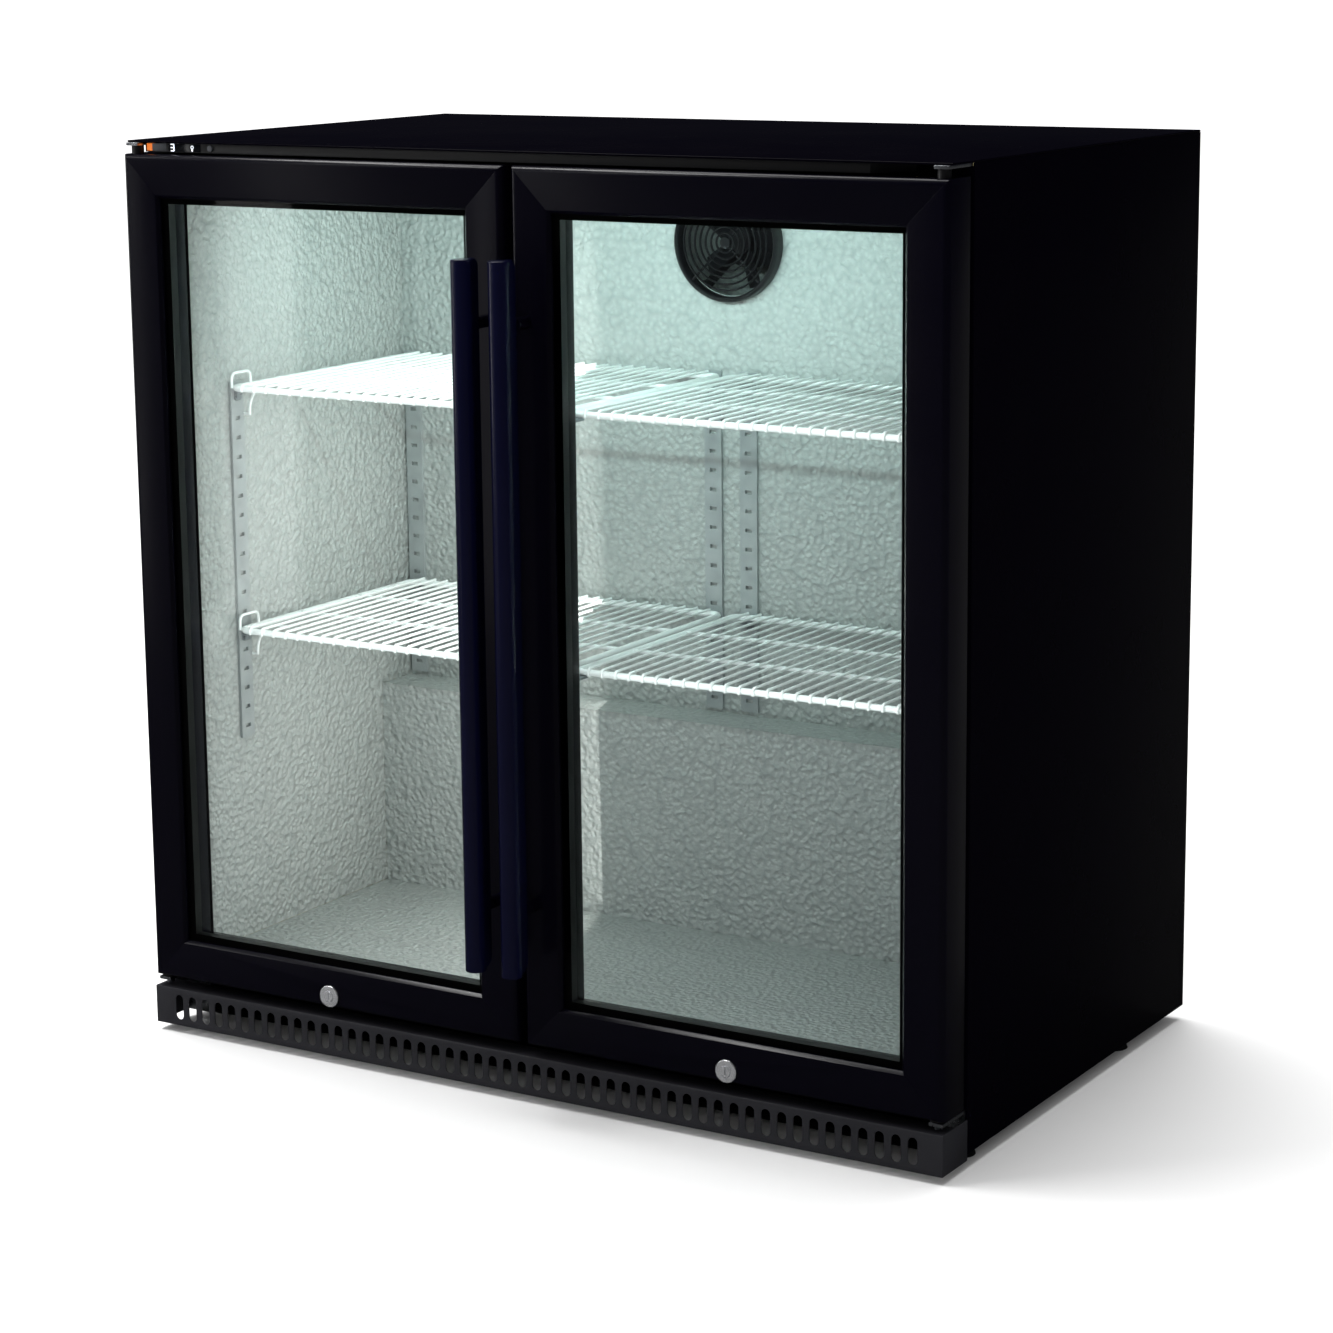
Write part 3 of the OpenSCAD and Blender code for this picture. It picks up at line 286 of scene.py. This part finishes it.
def relief(tree, height, strength, depth):
    inputs = {"Strength": strength, "Distance": depth, "Height": height}
    return addNode(tree, "ShaderNodeBump", inputs).outputs[0]


def drive(tree, shader, **sockets):
    for name, socket in sockets.items():
        tree.links.new(socket, shader.inputs[name.replace("_", " ")])


def powderCoat(name, colour, lighter, roughness, peel, gloss):
    # epoxy-polyester powder, baked: a slight orange peel breaks up its reflections
    material, tree, shader, where = newMaterial(name, colour, roughness=roughness, Specular_IOR_Level=gloss)
    cloud = noise(tree, where, 90, 4.0)
    both = addNode(tree, "ShaderNodeMath", {0: noise(tree, where, 7, 2.0), 1: noise(tree, where, 2.2, 3.0)},
                   operation="ADD")
    drive(tree, shader, Base_Color=blend(tree, cloud, colour, lighter),
          Roughness=spread(tree, cloud, roughness - 0.05, roughness + 0.06),
          Normal=relief(tree, both.outputs[0], peel, 0.0002))
    return material


cabinetPaint = powderCoat("blackPowderCoatSatin", "#020106", "#040308", 0.26, 0.25, 0.02)
doorPaint = powderCoat("blackPowderCoatGloss", "#03020a", "#04030d", 0.24, 0.16, 0.20)
grillePaint = powderCoat("greyPowderCoatSatin", "#232327", "#29292e", 0.40, 0.3, 0.35)
handlePaint = powderCoat("blueBlackPowderCoat", "#04051a", "#060722", 0.24, 0.16, 0.22)
basePaint = powderCoat("blackPrimerMatte", "#030303", "#060606", 0.80, 0.3, 0.02)
motorPaint = powderCoat("blackStovingEnamel", "#0c0c0e", "#141416", 0.45, 0.4, 0.4)


def stuccoAluminium(name, colour, darker):
    # coated aluminium sheet rolled with a pebble emboss, cells about 6 mm across, with painted shade along
    # the cell edges
    material, tree, shader, where = newMaterial(name, colour, metallic=0.35, roughness=0.42)
    warp = addNode(tree, "ShaderNodeTexNoise", {"Vector": where, "Scale": perMetre(12), "Detail": 2.0})
    shifted = addNode(tree, "ShaderNodeVectorMath", {0: warp.outputs[1], 1: (0.006, 0.006, 0.006)},
                      operation="MULTIPLY")
    moved = addNode(tree, "ShaderNodeVectorMath", {0: where, 1: shifted.outputs[0]}, operation="ADD")
    pebbles = {"Vector": moved.outputs[0], "Scale": perMetre(6), "Smoothness": 0.45}
    cells = addNode(tree, "ShaderNodeTexVoronoi", pebbles, feature="SMOOTH_F1")
    cell = cells.outputs["Distance"]
    grit = noise(tree, where, 3, 3.0)
    height = addNode(tree, "ShaderNodeMath", {0: grit, 1: 0.35, 2: cell}, operation="MULTIPLY_ADD")
    # the cell edges are painted darker than the cell middles: painted shade that deepens the emboss
    drive(tree, shader, Base_Color=blend(tree, cell, colour, darker), Roughness=spread(tree, grit, 0.34, 0.5),
          Normal=relief(tree, height.outputs[0], 1.0, 0.0028))
    return material


# the second colour is the painted shade for the emboss's cell edges
linerMetal = stuccoAluminium("stuccoEmbossedAluminium", "#bcc0bd", "#a0a5a3")


def sheetMetal(name, colour, darker, roughness, spangle, metallic=1.0):
    # bare or plated sheet: the crystals of the coating give patches of slightly different shine
    material, tree, shader, where = newMaterial(name, colour, metallic=metallic, roughness=roughness)
    crystals = addNode(tree, "ShaderNodeTexVoronoi", {"Vector": where, "Scale": perMetre(spangle)})
    haze = noise(tree, where, spangle * 0.4, 4.0)
    drive(tree, shader, Base_Color=blend(tree, crystals.outputs["Distance"], colour, darker),
          Roughness=spread(tree, haze, roughness - 0.08, roughness + 0.1),
          Normal=relief(tree, haze, 0.15, 0.0001))
    return material


zincPlate = sheetMetal("brightZincPlate", "#c9ccd0", "#aeb2b8", 0.28, 9)
finAluminium = sheetMetal("millAluminiumFin", "#b9bcc0", "#a0a4a8", 0.35, 14)
stripAluminium = sheetMetal("coatedAluminiumStrip", "#b4b9b9", "#9ea3a4", 0.4, 20, 0.5)
copperTube = sheetMetal("drawnCopperTube", "#b8704a", "#8a4c30", 0.3, 18)


def polishedChrome(name):
    # nickel-chrome plate on a die casting, faintly clouded
    material, tree, shader, where = newMaterial(name, "#e9eaed", metallic=0.75, roughness=0.13)
    cloud = noise(tree, where, 5, 3.0)
    drive(tree, shader, Base_Color=blend(tree, cloud, "#f4f5f7", "#dfe0e4"),
          Roughness=spread(tree, cloud, 0.12, 0.24))
    return material


lockChrome = polishedChrome("nickelChromePlate")


def mouldedPlastic(name, colour, lighter, roughness, grain, depth):
    # spark-eroded mould texture under a satin surface
    material, tree, shader, where = newMaterial(name, colour, roughness=roughness)
    pits = noise(tree, where, grain, 4.0, Roughness=0.6)
    flow = noise(tree, where, 30, 2.0)
    drive(tree, shader, Base_Color=blend(tree, flow, colour, lighter),
          Roughness=spread(tree, pits, roughness - 0.06, roughness + 0.08),
          Normal=relief(tree, pits, depth, 0.0002))
    return material


blackPlastic = mouldedPlastic("blackAbsMoulding", "#0a0a0c", "#101013", 0.42, 1.6, 0.3)
greyPlastic = mouldedPlastic("greyAbsMoulding", "#4a4d52", "#55585d", 0.4, 1.6, 0.25)
wireCoat = mouldedPlastic("whitePolyethyleneDip", "#eef2f0", "#e2e7e5", 0.3, 3.5, 0.25)
trayPlastic = mouldedPlastic("greyPolypropylene", "#5b5e62", "#66696e", 0.45, 2.0, 0.3)
gasketRubber = mouldedPlastic("blackPvcGasket", "#0b0b0d", "#121214", 0.58, 2.2, 0.4)
foamFill = mouldedPlastic("polyurethaneFoam", "#e0d09a", "#cdb87a", 0.85, 1.4, 1.0)
windowPlastic = mouldedPlastic("smokedAcrylic", "#04060a", "#060910", 0.12, 12, 0.05)


def litPlastic(name, colour, glow, strength):
    # moulded plastic with a lamp behind it
    material, tree, shader, where = newMaterial(name, colour, roughness=0.3, Emission_Strength=strength)
    tint = blend(tree, noise(tree, where, 6, 1.0), glow, colour)
    drive(tree, shader, Base_Color=tint, Emission_Color=tint)
    return material


orangeRocker = litPlastic("orangeNeonRocker", "#e0641c", "#ff9a4a", 0.5)
whiteLegend = litPlastic("whiteLedLegend", "#dfe8ff", "#ffffff", 1.1)
diffuser = litPlastic("frostedPolycarbonate", "#f2fffb", "#ffffff", 2.2)


def floatGlass(name):
    # clear float glass, low iron; the coating inside the sealed unit keeps its reflections weak
    material, tree, shader, where = newMaterial(name, "#fafdfc", roughness=0.0, IOR=1.2,
                                                Transmission_Weight=1.0)
    smear = noise(tree, where, 160, 3.0)
    drive(tree, shader, Base_Color=blend(tree, smear, "#f9fcfb", "#fdfffe"))
    return material


doorGlass = floatGlass("clearFloatGlass")

materialOf = {
    "cabinet_paint": cabinetPaint, "door_paint": doorPaint, "grille_paint": grillePaint,
    "motor_paint": motorPaint, "zinc_plate": zincPlate, "fin_aluminium": finAluminium,
    "strip_aluminium": stripAluminium, "copper_tube": copperTube, "lock_chrome": lockChrome,
    "stucco_liner": linerMetal, "foam": foamFill, "door_glass": doorGlass, "seal_rubber": gasketRubber,
    "black_plastic": blackPlastic, "grey_plastic": greyPlastic, "display_plastic": windowPlastic,
    "orange_plastic": orangeRocker, "white_diffuser": diffuser, "white_coated_wire": wireCoat,
}
# nodes that look different from the rest of their slot
ownMaterial = {
    "drip_tray": trayPlastic, "base_pan": basePaint, "front_rails": basePaint,
    "handle_bar_left": handlePaint, "handle_bar_right": handlePaint,
}


def materialFor(node):
    return ownMaterial.get(node, materialOf[slotOf[node]])


for nodeName, cadObject in frame["nodes"].items():
    for materialSlot in cadObject.material_slots:
        materialSlot.material = materialFor(nodeName)
print("materials on every node")

# ---- pieces ----

cadWeld = 2e-6     # CAD vertices nearer than this are one


def finishPiece(name, bm, body, material, smoothAngle=38, nodes=(), recalculate=True):
    if recalculate:
        bmesh.ops.recalc_face_normals(bm, faces=bm.faces)
    mesh = bpy.data.meshes.new(name)
    bm.to_mesh(mesh)
    bm.free()
    mesh.polygons.foreach_set("use_smooth", [True] * len(mesh.polygons))
    mesh.set_sharp_from_angle(angle=math.radians(smoothAngle))
    mesh.materials.append(material)
    piece = bpy.data.objects.new(name, mesh)
    bpy.context.scene.collection.objects.link(piece)
    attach(piece, body)
    if nodes:
        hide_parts(*nodes)


def cadMesh(node):
    # a node's mesh with its flat facets joined
    bm = bmesh.new()
    bm.from_mesh(frame["nodes"][node].data)
    bmesh.ops.remove_doubles(bm, verts=bm.verts, dist=cadWeld)
    bmesh.ops.dissolve_limit(bm, angle_limit=math.radians(0.6), verts=bm.verts, edges=bm.edges)
    return bm


def breakEdges(bm, width):
    sharp = [edge for edge in bm.edges
             if len(edge.link_faces) == 2 and edge.calc_face_angle(0) > math.radians(35)]
    bmesh.ops.bevel(bm, geom=sharp, offset=width, offset_type="OFFSET", segments=3, profile=0.5,
                    affect="EDGES", clamp_overlap=True, material=-1)


def softened(node, width):
    # the same shape with its edges broken, as folding, casting and coating leave them
    bm = cadMesh(node)
    breakEdges(bm, width)
    finishPiece(node + "Piece", bm, bodyOf[node], materialFor(node), nodes=(node,),
                recalculate=False)


# width of the broken edge in metres
edgeWidths = {
    "side_panel_left": 0.0011, "side_panel_right": 0.0011, "top_panel": 0.0008, "back_panel": 0.0004,
    "liner_sides": 0.0003, "liner_ceiling": 0.0003, "liner_floor": 0.0003, "duct_cover": 0.0003,
    "mullion": 0.0015, "front_rails": 0.0004, "base_pan": 0.0005, "control_fascia": 0.0005,
    "display_window": 0.0002, "set_key": 0.0005, "hinge_brackets": 0.0006, "led_bar": 0.0008,
    "led_diffuser": 0.0009, "shelf_clips": 0.0005, "levelling_feet": 0.0008, "compressor": 0.0012,
    "cable_gland": 0.0006, "kick_grille": 0.0006, "frame_stiles_left": 0.0005,
    "frame_rails_left": 0.0005, "frame_stiles_right": 0.0005, "frame_rails_right": 0.0005,
    "handle_bar_left": 0.0011, "handle_bar_right": 0.0011, "handle_posts_left": 0.0006,
    "handle_posts_right": 0.0006, "lock_housing_left": 0.0013, "lock_housing_right": 0.0013,
    "lock_plug_left": 0.0003, "lock_plug_right": 0.0003, "hinge_bushes_left": 0.0003,
    "hinge_bushes_right": 0.0003, "drip_tray": 0.0006, "fan_shroud": 0.0003,
}
for nodeName, edgeWidth in edgeWidths.items():
    softened(nodeName, edgeWidth)
print("edges broken on", len(edgeWidths), "nodes")


rockerValues = {
    "edge": 0.0006,
    "lampShare": 0.34,      # part of the rocker's width that the lamp window takes
}


def rocker(node, values):
    # the lamp window and the grey key beside it are two mouldings
    low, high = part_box(node)
    cut = low.x + (high.x - low.x) * values["lampShare"]
    halves = (("Lamp", slotOf[node], orangeRocker, True), ("Key", "grey_plastic", greyPlastic, False))
    for suffix, slotName, material, isLamp in halves:
        bm = cadMesh(node)
        bmesh.ops.bisect_plane(bm, geom=bm.verts[:] + bm.edges[:] + bm.faces[:], plane_co=(cut, 0, 0),
                               plane_no=(1, 0, 0), clear_outer=isLamp, clear_inner=not isLamp)
        bmesh.ops.holes_fill(bm, edges=[edge for edge in bm.edges if edge.is_boundary], sides=0)
        breakEdges(bm, values["edge"] * (1 if isLamp else 0.5))
        finishPiece(node + suffix, bm, bodyOf[node], material, nodes=(node,) if isLamp else ())


rocker("light_switch", rockerValues)
print("rocker made")


shelfValues = {
    "rimRadius": 0.0033,
    "thinRadius": 0.0015,
    "pitch": 0.015,
    "innerEnd": 0.008,        # wire centres of each half shelf
    "outerEnd": 0.401,
    "cornerRadius": 0.010,
    "frontHook": 0.0041,      # how far a thin wire laps down over the front wire
    "frontInset": 0.003,      # rim wire's centre in from the shelf's front and back
    "crossRadius": 0.002,     # the two stiffening wires under the thin ones
    "stopRise": 0.015,
    "stopLength": 0.030,
    "hookRadius": 0.028,
    "hookBack": 0.0275,       # support wire's place behind the front wire
    "hookRise": 0.0024,       # its top's centre above the rim wire's
    "hookFoot": 0.004,        # its straight end's drop into the strip
    "hookTail": 0.014,
    "stripX": 0.4085,
    "sides": 8,
}


def quarter(steps, first=0):
    # angles of a quarter turn, in radians
    return [math.pi / 2 * step / steps for step in range(first, steps + 1)]


def wireMesh(name, paths, sides, closed=()):
    # round wire along each path, as one mesh
    curve = bpy.data.curves.new(name, "CURVE")
    curve.dimensions = "3D"
    curve.bevel_depth = 1.0
    curve.bevel_resolution = sides // 2 - 2
    curve.use_fill_caps = True
    for index, (points, radius) in enumerate(paths):
        spline = curve.splines.new("POLY")
        spline.points.add(len(points) - 1)
        for point, place in zip(spline.points, points):
            point.co = (*place, 1)
            point.radius = radius
        spline.use_cyclic_u = index in closed
    helper = bpy.data.objects.new(name, curve)
    bpy.context.scene.collection.objects.link(helper)
    bpy.context.view_layer.update()
    mesh = bpy.data.meshes.new_from_object(helper.evaluated_get(bpy.context.evaluated_depsgraph_get()))
    bpy.data.objects.remove(helper)
    bpy.data.curves.remove(curve)
    bm = bmesh.new()
    bm.from_mesh(mesh)
    bpy.data.meshes.remove(mesh)
    bmesh.ops.remove_doubles(bm, verts=bm.verts, dist=1e-6)
    return bm


def roundedLoop(x0, x1, y0, y1, z, radius, steps=5):
    points = []
    for cx, cy, start in ((x1 - radius, y1 - radius, 0), (x0 + radius, y1 - radius, 90),
                          (x0 + radius, y0 + radius, 180), (x1 - radius, y0 + radius, 270)):
        for step in range(steps + 1):
            angle = math.radians(start + 90 * step / steps)
            points.append((cx + radius * math.cos(angle), cy + radius * math.sin(angle), z))
    return points


def wireShelves(node, values):
    low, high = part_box(node)
    rim, thin = values["rimRadius"], values["thinRadius"]
    level = shelfLevels[node]
    front, back = low.y + values["frontInset"], high.y - values["frontInset"]
    hookY = front + values["hookBack"]
    topZ = level + rim + thin - 0.0005
    paths, closed = [], []
    for side in (-1, 1):
        outer = side * values["outerEnd"]
        x0, x1 = sorted((side * values["innerEnd"], outer))
        closed.append(len(paths))
        paths.append((roundedLoop(x0, x1, front, back, level, values["cornerRadius"]), rim))
        cross = values["crossRadius"]
        for share in (1 / 3, 2 / 3):
            y = front + (back - front) * share
            paths.append(([(x0, y, level + rim - cross), (x1, y, level + rim - cross)], cross))
        count = int((x1 - x0) / values["pitch"])
        for i in range(1, count):
            x = x0 + (x1 - x0) * i / count
            wire = [(x, back + 0.0015, topZ), (x, front + 0.002, topZ), (x, front - 0.0005, topZ)]
            # its end laps down over the front wire
            for a in (math.radians(degrees) for degrees in (60, 35, 10, -15, -35)):
                wire.append((x, front - values["frontHook"] * math.cos(a),
                             level + (topZ - level) * math.sin(a)))
            paths.append((wire, thin))
        # short loop that stands on the outer front corner
        top, bend, end = level + values["stopRise"], values["stopRise"] * 0.4, front + values["stopLength"]
        stop = [(outer, front, level), (outer, front, top - bend)]
        for a in quarter(5, 1):
            stop.append((outer, front + bend - bend * math.cos(a), top - bend + bend * math.sin(a)))
        for a in quarter(5):
            stop.append((outer, end - bend + bend * math.sin(a), top - bend + bend * math.cos(a)))
        stop.append((outer, end, level))
        paths.append((stop, thin))
        # quarter-round wire that hooks into the side strip
        r, under = values["hookRadius"], level + values["hookRise"]
        foot = under - r - values["hookFoot"]
        support = [(side * values["stripX"], hookY, foot), (outer, hookY, foot)]
        for a in quarter(9):
            support.append((outer - side * r * (1 - math.cos(a)), hookY, under - r + r * math.sin(a)))
        support.append((outer - side * (r + values["hookTail"]), hookY, under))
        paths.append((support, thin))
    bm = wireMesh(node + "Piece", paths, values["sides"], closed)
    finishPiece(node + "Piece", bm, bodyOf[node], wireCoat, 60, (node,))


for shelfNode in ("shelves_upper", "shelves_lower"):
    wireShelves(shelfNode, shelfValues)
print("wire shelves made")


gasketValues = {
    # across the seal from its outer edge, and back from the frame: a bulb with two lips and a bellows fold
    "profile": [(0.0, 0.0), (0.0105, 0.0), (0.0112, 0.0012), (0.0098, 0.0022), (0.0110, 0.0034),
                (0.0118, 0.0052), (0.0112, 0.0070), (0.0094, 0.0076), (0.0026, 0.0076), (0.0008, 0.0070),
                (0.0002, 0.0054), (0.0010, 0.0036), (0.0022, 0.0024), (0.0006, 0.0012)],
}


def mitredRing(bm, profile, x0, x1, z0, z1, y):
    # the profile swept round a rectangle, with its first coordinate measured in from the edge
    loops = []
    for cx, cz, dx, dz in ((x0, z0, 1, 1), (x1, z0, -1, 1), (x1, z1, -1, -1), (x0, z1, 1, -1)):
        verts = [bm.verts.new((cx + dx * u, y + v, cz + dz * u)) for u, v in profile]
        loops.append([bm.edges.new((verts[i], verts[(i + 1) % len(verts)])) for i in range(len(verts))])
    for i in range(4):
        bmesh.ops.bridge_loops(bm, edges=loops[i] + loops[(i + 1) % 4])


def doorGasket(sideName, values):
    node = "door_seal_" + sideName
    low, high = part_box(node)
    bm = bmesh.new()
    mitredRing(bm, values["profile"], low.x, high.x, low.z, high.z, low.y)
    finishPiece(node + "Piece", bm, bodyOf[node], gasketRubber, 50, (node,))


for sideName in ("left", "right"):
    doorGasket(sideName, gasketValues)
print("door gaskets made")


guardValues = {
    "ringPitch": 0.0064,
    "ringRadius": 0.0011,
    "rimWidth": 0.0055,
    "boss": 0.0062,
    "ribs": 4,
    "ribWidth": 0.0022,
    "ribDepth": 0.0028,
}


def spinProfile(bm, points, centre, steps=64):
    # a closed outline in (radius, depth) turned about the Y axis through centre
    verts = [bm.verts.new((centre.x + r, centre.y + d, centre.z)) for r, d in points]
    edges = [bm.edges.new((verts[i], verts[(i + 1) % len(verts)])) for i in range(len(verts))]
    bmesh.ops.spin(bm, geom=verts + edges, cent=centre, axis=(0, 1, 0), angle=math.tau, steps=steps,
                   use_merge=True, use_duplicate=False)


def fanGuard(node, values):
    low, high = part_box(node)
    centre = Vector(((low.x + high.x) / 2, low.y, (low.z + high.z) / 2))
    radius, depth = (high.x - low.x) / 2, high.y - low.y
    bm = bmesh.new()
    w = values["rimWidth"]
    spinProfile(bm, [(radius - w, 0.002), (radius - w + 0.001, 0.0006), (radius - w + 0.0025, 0),
                     (radius - 0.002, 0.0004), (radius - 0.0006, 0.0016), (radius, 0.0035), (radius, depth),
                     (radius - w, depth)], centre)
    ring = values["boss"] + values["ringPitch"] * 0.6
    r = values["ringRadius"]
    while ring < radius - w - 0.001:
        spinProfile(bm, [(ring + r * math.cos(a), 0.0016 + r * 1.3 * math.sin(a))
                         for a in (math.tau * k / 8 for k in range(8))], centre)
        ring += values["ringPitch"]
    boss = values["boss"]
    spinProfile(bm, [(0.0001, 0.0002), (boss * 0.7, 0.0004), (boss * 0.95, 0.0012), (boss, 0.0026),
                     (boss, 0.004), (0.0001, 0.004)], centre, 32)
    for i in range(values["ribs"]):
        made = bmesh.ops.create_cube(bm, size=1)["verts"]
        length = radius - w * 0.6
        bmesh.ops.scale(bm, verts=made, vec=(length, values["ribDepth"], values["ribWidth"]))
        bmesh.ops.translate(bm, verts=made, vec=(length / 2, 0.0036, 0))
        turn = math.radians(45 + 360 * i / values["ribs"])
        bmesh.ops.rotate(bm, verts=made, cent=(0, 0, 0), matrix=Matrix.Rotation(turn, 3, "Y"))
        bmesh.ops.translate(bm, verts=made, vec=centre)
        bmesh.ops.bevel(bm, geom=list({edge for vert in made for edge in vert.link_edges}), offset=0.0005,
                        segments=2, profile=0.5, affect="EDGES", material=-1)
    bmesh.ops.remove_doubles(bm, verts=bm.verts, dist=1e-6)
    finishPiece(node + "Piece", bm, bodyOf[node], blackPlastic, 45, (node,))


fanGuard("fan_guard", guardValues)
print("fan guard made")


condenserValues = {
    "fins": 84,
    "finThickness": 0.0003,
    "tubeRadius": 0.0048,
    "rows": 5,
    "inset": 0.008,           # of the first fin and the tube's bends
    "bendReach": 0.006,
}


def condenser(node, values):
    low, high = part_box(node)
    bm = bmesh.new()
    inset = values["inset"]
    middle = (low.y + high.y) / 2
    span = high.x - low.x - 2 * inset
    for i in range(values["fins"]):
        made = bmesh.ops.create_cube(bm, size=1)["verts"]
        bmesh.ops.scale(bm, verts=made, vec=(values["finThickness"], high.y - low.y, high.z - low.z))
        x = low.x + inset + span * i / (values["fins"] - 1)
        bmesh.ops.translate(bm, verts=made, vec=(x, middle, (low.z + high.z) / 2))
    finishPiece(node + "Piece", bm, bodyOf[node], finAluminium, 30, (node,))
    # one tube winds back and forth through the fins
    rise = (high.z - low.z) / values["rows"]
    bend = rise / 2
    points = []
    for row in range(values["rows"]):
        z = low.z + (row + 0.5) * rise
        ends = [low.x + inset, high.x - inset]
        if row % 2:
            ends.reverse()
        points += [(ends[0], middle, z), (ends[1], middle, z)]
        if row < values["rows"] - 1:
            reach = values["bendReach"] if ends[1] > ends[0] else -values["bendReach"]
            points += [(ends[1] + reach * math.sin(a), middle, z + bend - bend * math.cos(a))
                       for a in (math.pi * k / 8 for k in range(1, 8))]
    tube = wireMesh(node + "Tube", [(points, values["tubeRadius"])], 10)
    finishPiece(node + "Tube", tube, bodyOf[node], copperTube, 60)


condenser("condenser_coil", condenserValues)
print("condenser made")


legendValues = {
    "digit": "abgcd",        # segments that are lit
    "height": 0.0062,
    "width": 0.0038,
    "stroke": 0.0009,
    "raise": 0.00025,
    "digitInset": 0.0055,    # in from the window's left end
    "lampInset": 0.010,      # in from its right end
}


def displayLegend(node, values):
    low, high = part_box(node)
    face = low.y - values["raise"]
    h, w, s = values["height"], values["width"], values["stroke"]
    cx, cz = low.x + values["digitInset"], (low.z + high.z) / 2
    # middle and size of each segment
    strokes = {"a": (0, h / 2, w, s), "b": (w / 2, h / 4, s, h / 2), "c": (w / 2, -h / 4, s, h / 2),
               "d": (0, -h / 2, w, s), "e": (-w / 2, -h / 4, s, h / 2), "f": (-w / 2, h / 4, s, h / 2),
               "g": (0, 0, w, s)}
    bm = bmesh.new()
    bars = [(cx + x, cz + z, across, up) for x, z, across, up in (strokes[k] for k in values["digit"])]
    lamp = high.x - values["lampInset"]
    bars += [(lamp, cz - 0.0019, 0.0016, s), (lamp, cz - 0.0028, 0.0010, s)]     # base of the lamp sign
    for x, z, across, up in bars:
        made = bmesh.ops.create_cube(bm, size=1)["verts"]
        bmesh.ops.scale(bm, verts=made, vec=(across + 0.0002, 0.0004, up + 0.0002))
        bmesh.ops.translate(bm, verts=made, vec=(x, face + 0.0002, z))
    centre = Vector((lamp, face, cz + 0.0006))
    spinProfile(bm, [(0.0012, 0), (0.0018, 0), (0.0018, 0.0004), (0.0012, 0.0004)], centre, 24)
    bmesh.ops.remove_doubles(bm, verts=bm.verts, dist=1e-7)
    finishPiece("displayLegend", bm, bodyOf[node], whiteLegend, 30)


displayLegend("display_window", legendValues)
print("display legend made")


screwValues = {
    "headRadius": 0.0040,
    "headHeight": 0.0020,
    "recess": 0.0030,
    "slot": 0.0009,
}


def screwHead(values):
    # pan head with a cross recess, head up the Y axis at the origin
    r, h = values["headRadius"], values["headHeight"]
    bm = bmesh.new()
    outline = [(0.00001, 0), (r, 0), (r, h * 0.35), (r * 0.9, h * 0.72), (r * 0.68, h * 0.94), (0.00001, h)]
    spinProfile(bm, outline, Vector((0, 0, 0)), 24)
    bmesh.ops.remove_doubles(bm, verts=bm.verts, dist=3e-5)
    bmesh.ops.recalc_face_normals(bm, faces=bm.faces)
    mesh = bpy.data.meshes.new("screwHead")
    bm.to_mesh(mesh)
    bm.free()
    head = bpy.data.objects.new("screwHead", mesh)
    bpy.context.scene.collection.objects.link(head)
    cutter = bmesh.new()
    for turn in (0, 90):
        made = bmesh.ops.create_cube(cutter, size=1)["verts"]
        bmesh.ops.scale(cutter, verts=made, vec=(values["recess"] * 1.5, h * 1.2, values["slot"]))
        bmesh.ops.rotate(cutter, verts=made, cent=(0, 0, 0),
                         matrix=Matrix.Rotation(math.radians(turn), 3, "Y"))
        bmesh.ops.translate(cutter, verts=made, vec=(0, h, 0))
    knifeMesh = bpy.data.meshes.new("screwKnife")
    cutter.to_mesh(knifeMesh)
    cutter.free()
    knife = bpy.data.objects.new("screwKnife", knifeMesh)
    bpy.context.scene.collection.objects.link(knife)
    cut = head.modifiers.new("recess", "BOOLEAN")
    cut.operation = "DIFFERENCE"
    cut.object = knife
    cut.solver = "EXACT"
    cut.use_self = True
    bpy.context.view_layer.update()
    made = bpy.data.meshes.new_from_object(head.evaluated_get(bpy.context.evaluated_depsgraph_get()))
    bpy.data.objects.remove(head)
    bpy.data.objects.remove(knife)
    return made


def looseParts(mesh):
    # the corners of the box round each separate solid of a node
    bm = bmesh.new()
    bm.from_mesh(mesh)
    bmesh.ops.remove_doubles(bm, verts=bm.verts, dist=cadWeld)
    left, boxes = set(bm.verts), []
    while left:
        stack, seen = [left.pop()], []
        while stack:
            vert = stack.pop()
            seen.append(vert.co.copy())
            for edge in vert.link_edges:
                other = edge.other_vert(vert)
                if other in left:
                    left.remove(other)
                    stack.append(other)
        boxes.append([Vector([end(place[i] for place in seen) for i in range(3)]) for end in (min, max)])
    bm.free()
    return boxes


def cabinetScrews(node, values):
    head = screwHead(values)
    bm = bmesh.new()
    for low, high in looseParts(frame["nodes"][node].data):
        outward = 1 if high.y > cadBounds[1][1] - 0.01 else -1
        before = len(bm.verts)
        bm.from_mesh(head)
        bm.verts.ensure_lookup_table()
        fresh = bm.verts[before:]
        if outward < 0:
            bmesh.ops.rotate(bm, verts=fresh, cent=(0, 0, 0), matrix=Matrix.Rotation(math.pi, 3, "X"))
        # each cross ends at its own angle
        turn = low.x * 40 + low.z * 30
        bmesh.ops.rotate(bm, verts=fresh, cent=(0, 0, 0), matrix=Matrix.Rotation(turn, 3, "Y"))
        seat = high.y - values["headHeight"] if outward > 0 else low.y + values["headHeight"]
        bmesh.ops.translate(bm, verts=fresh, vec=((low.x + high.x) / 2, seat, (low.z + high.z) / 2))
    finishPiece(node + "Piece", bm, bodyOf[node], zincPlate, 35, (node,), recalculate=False)


cabinetScrews("cabinet_screws", screwValues)
print("screws made")
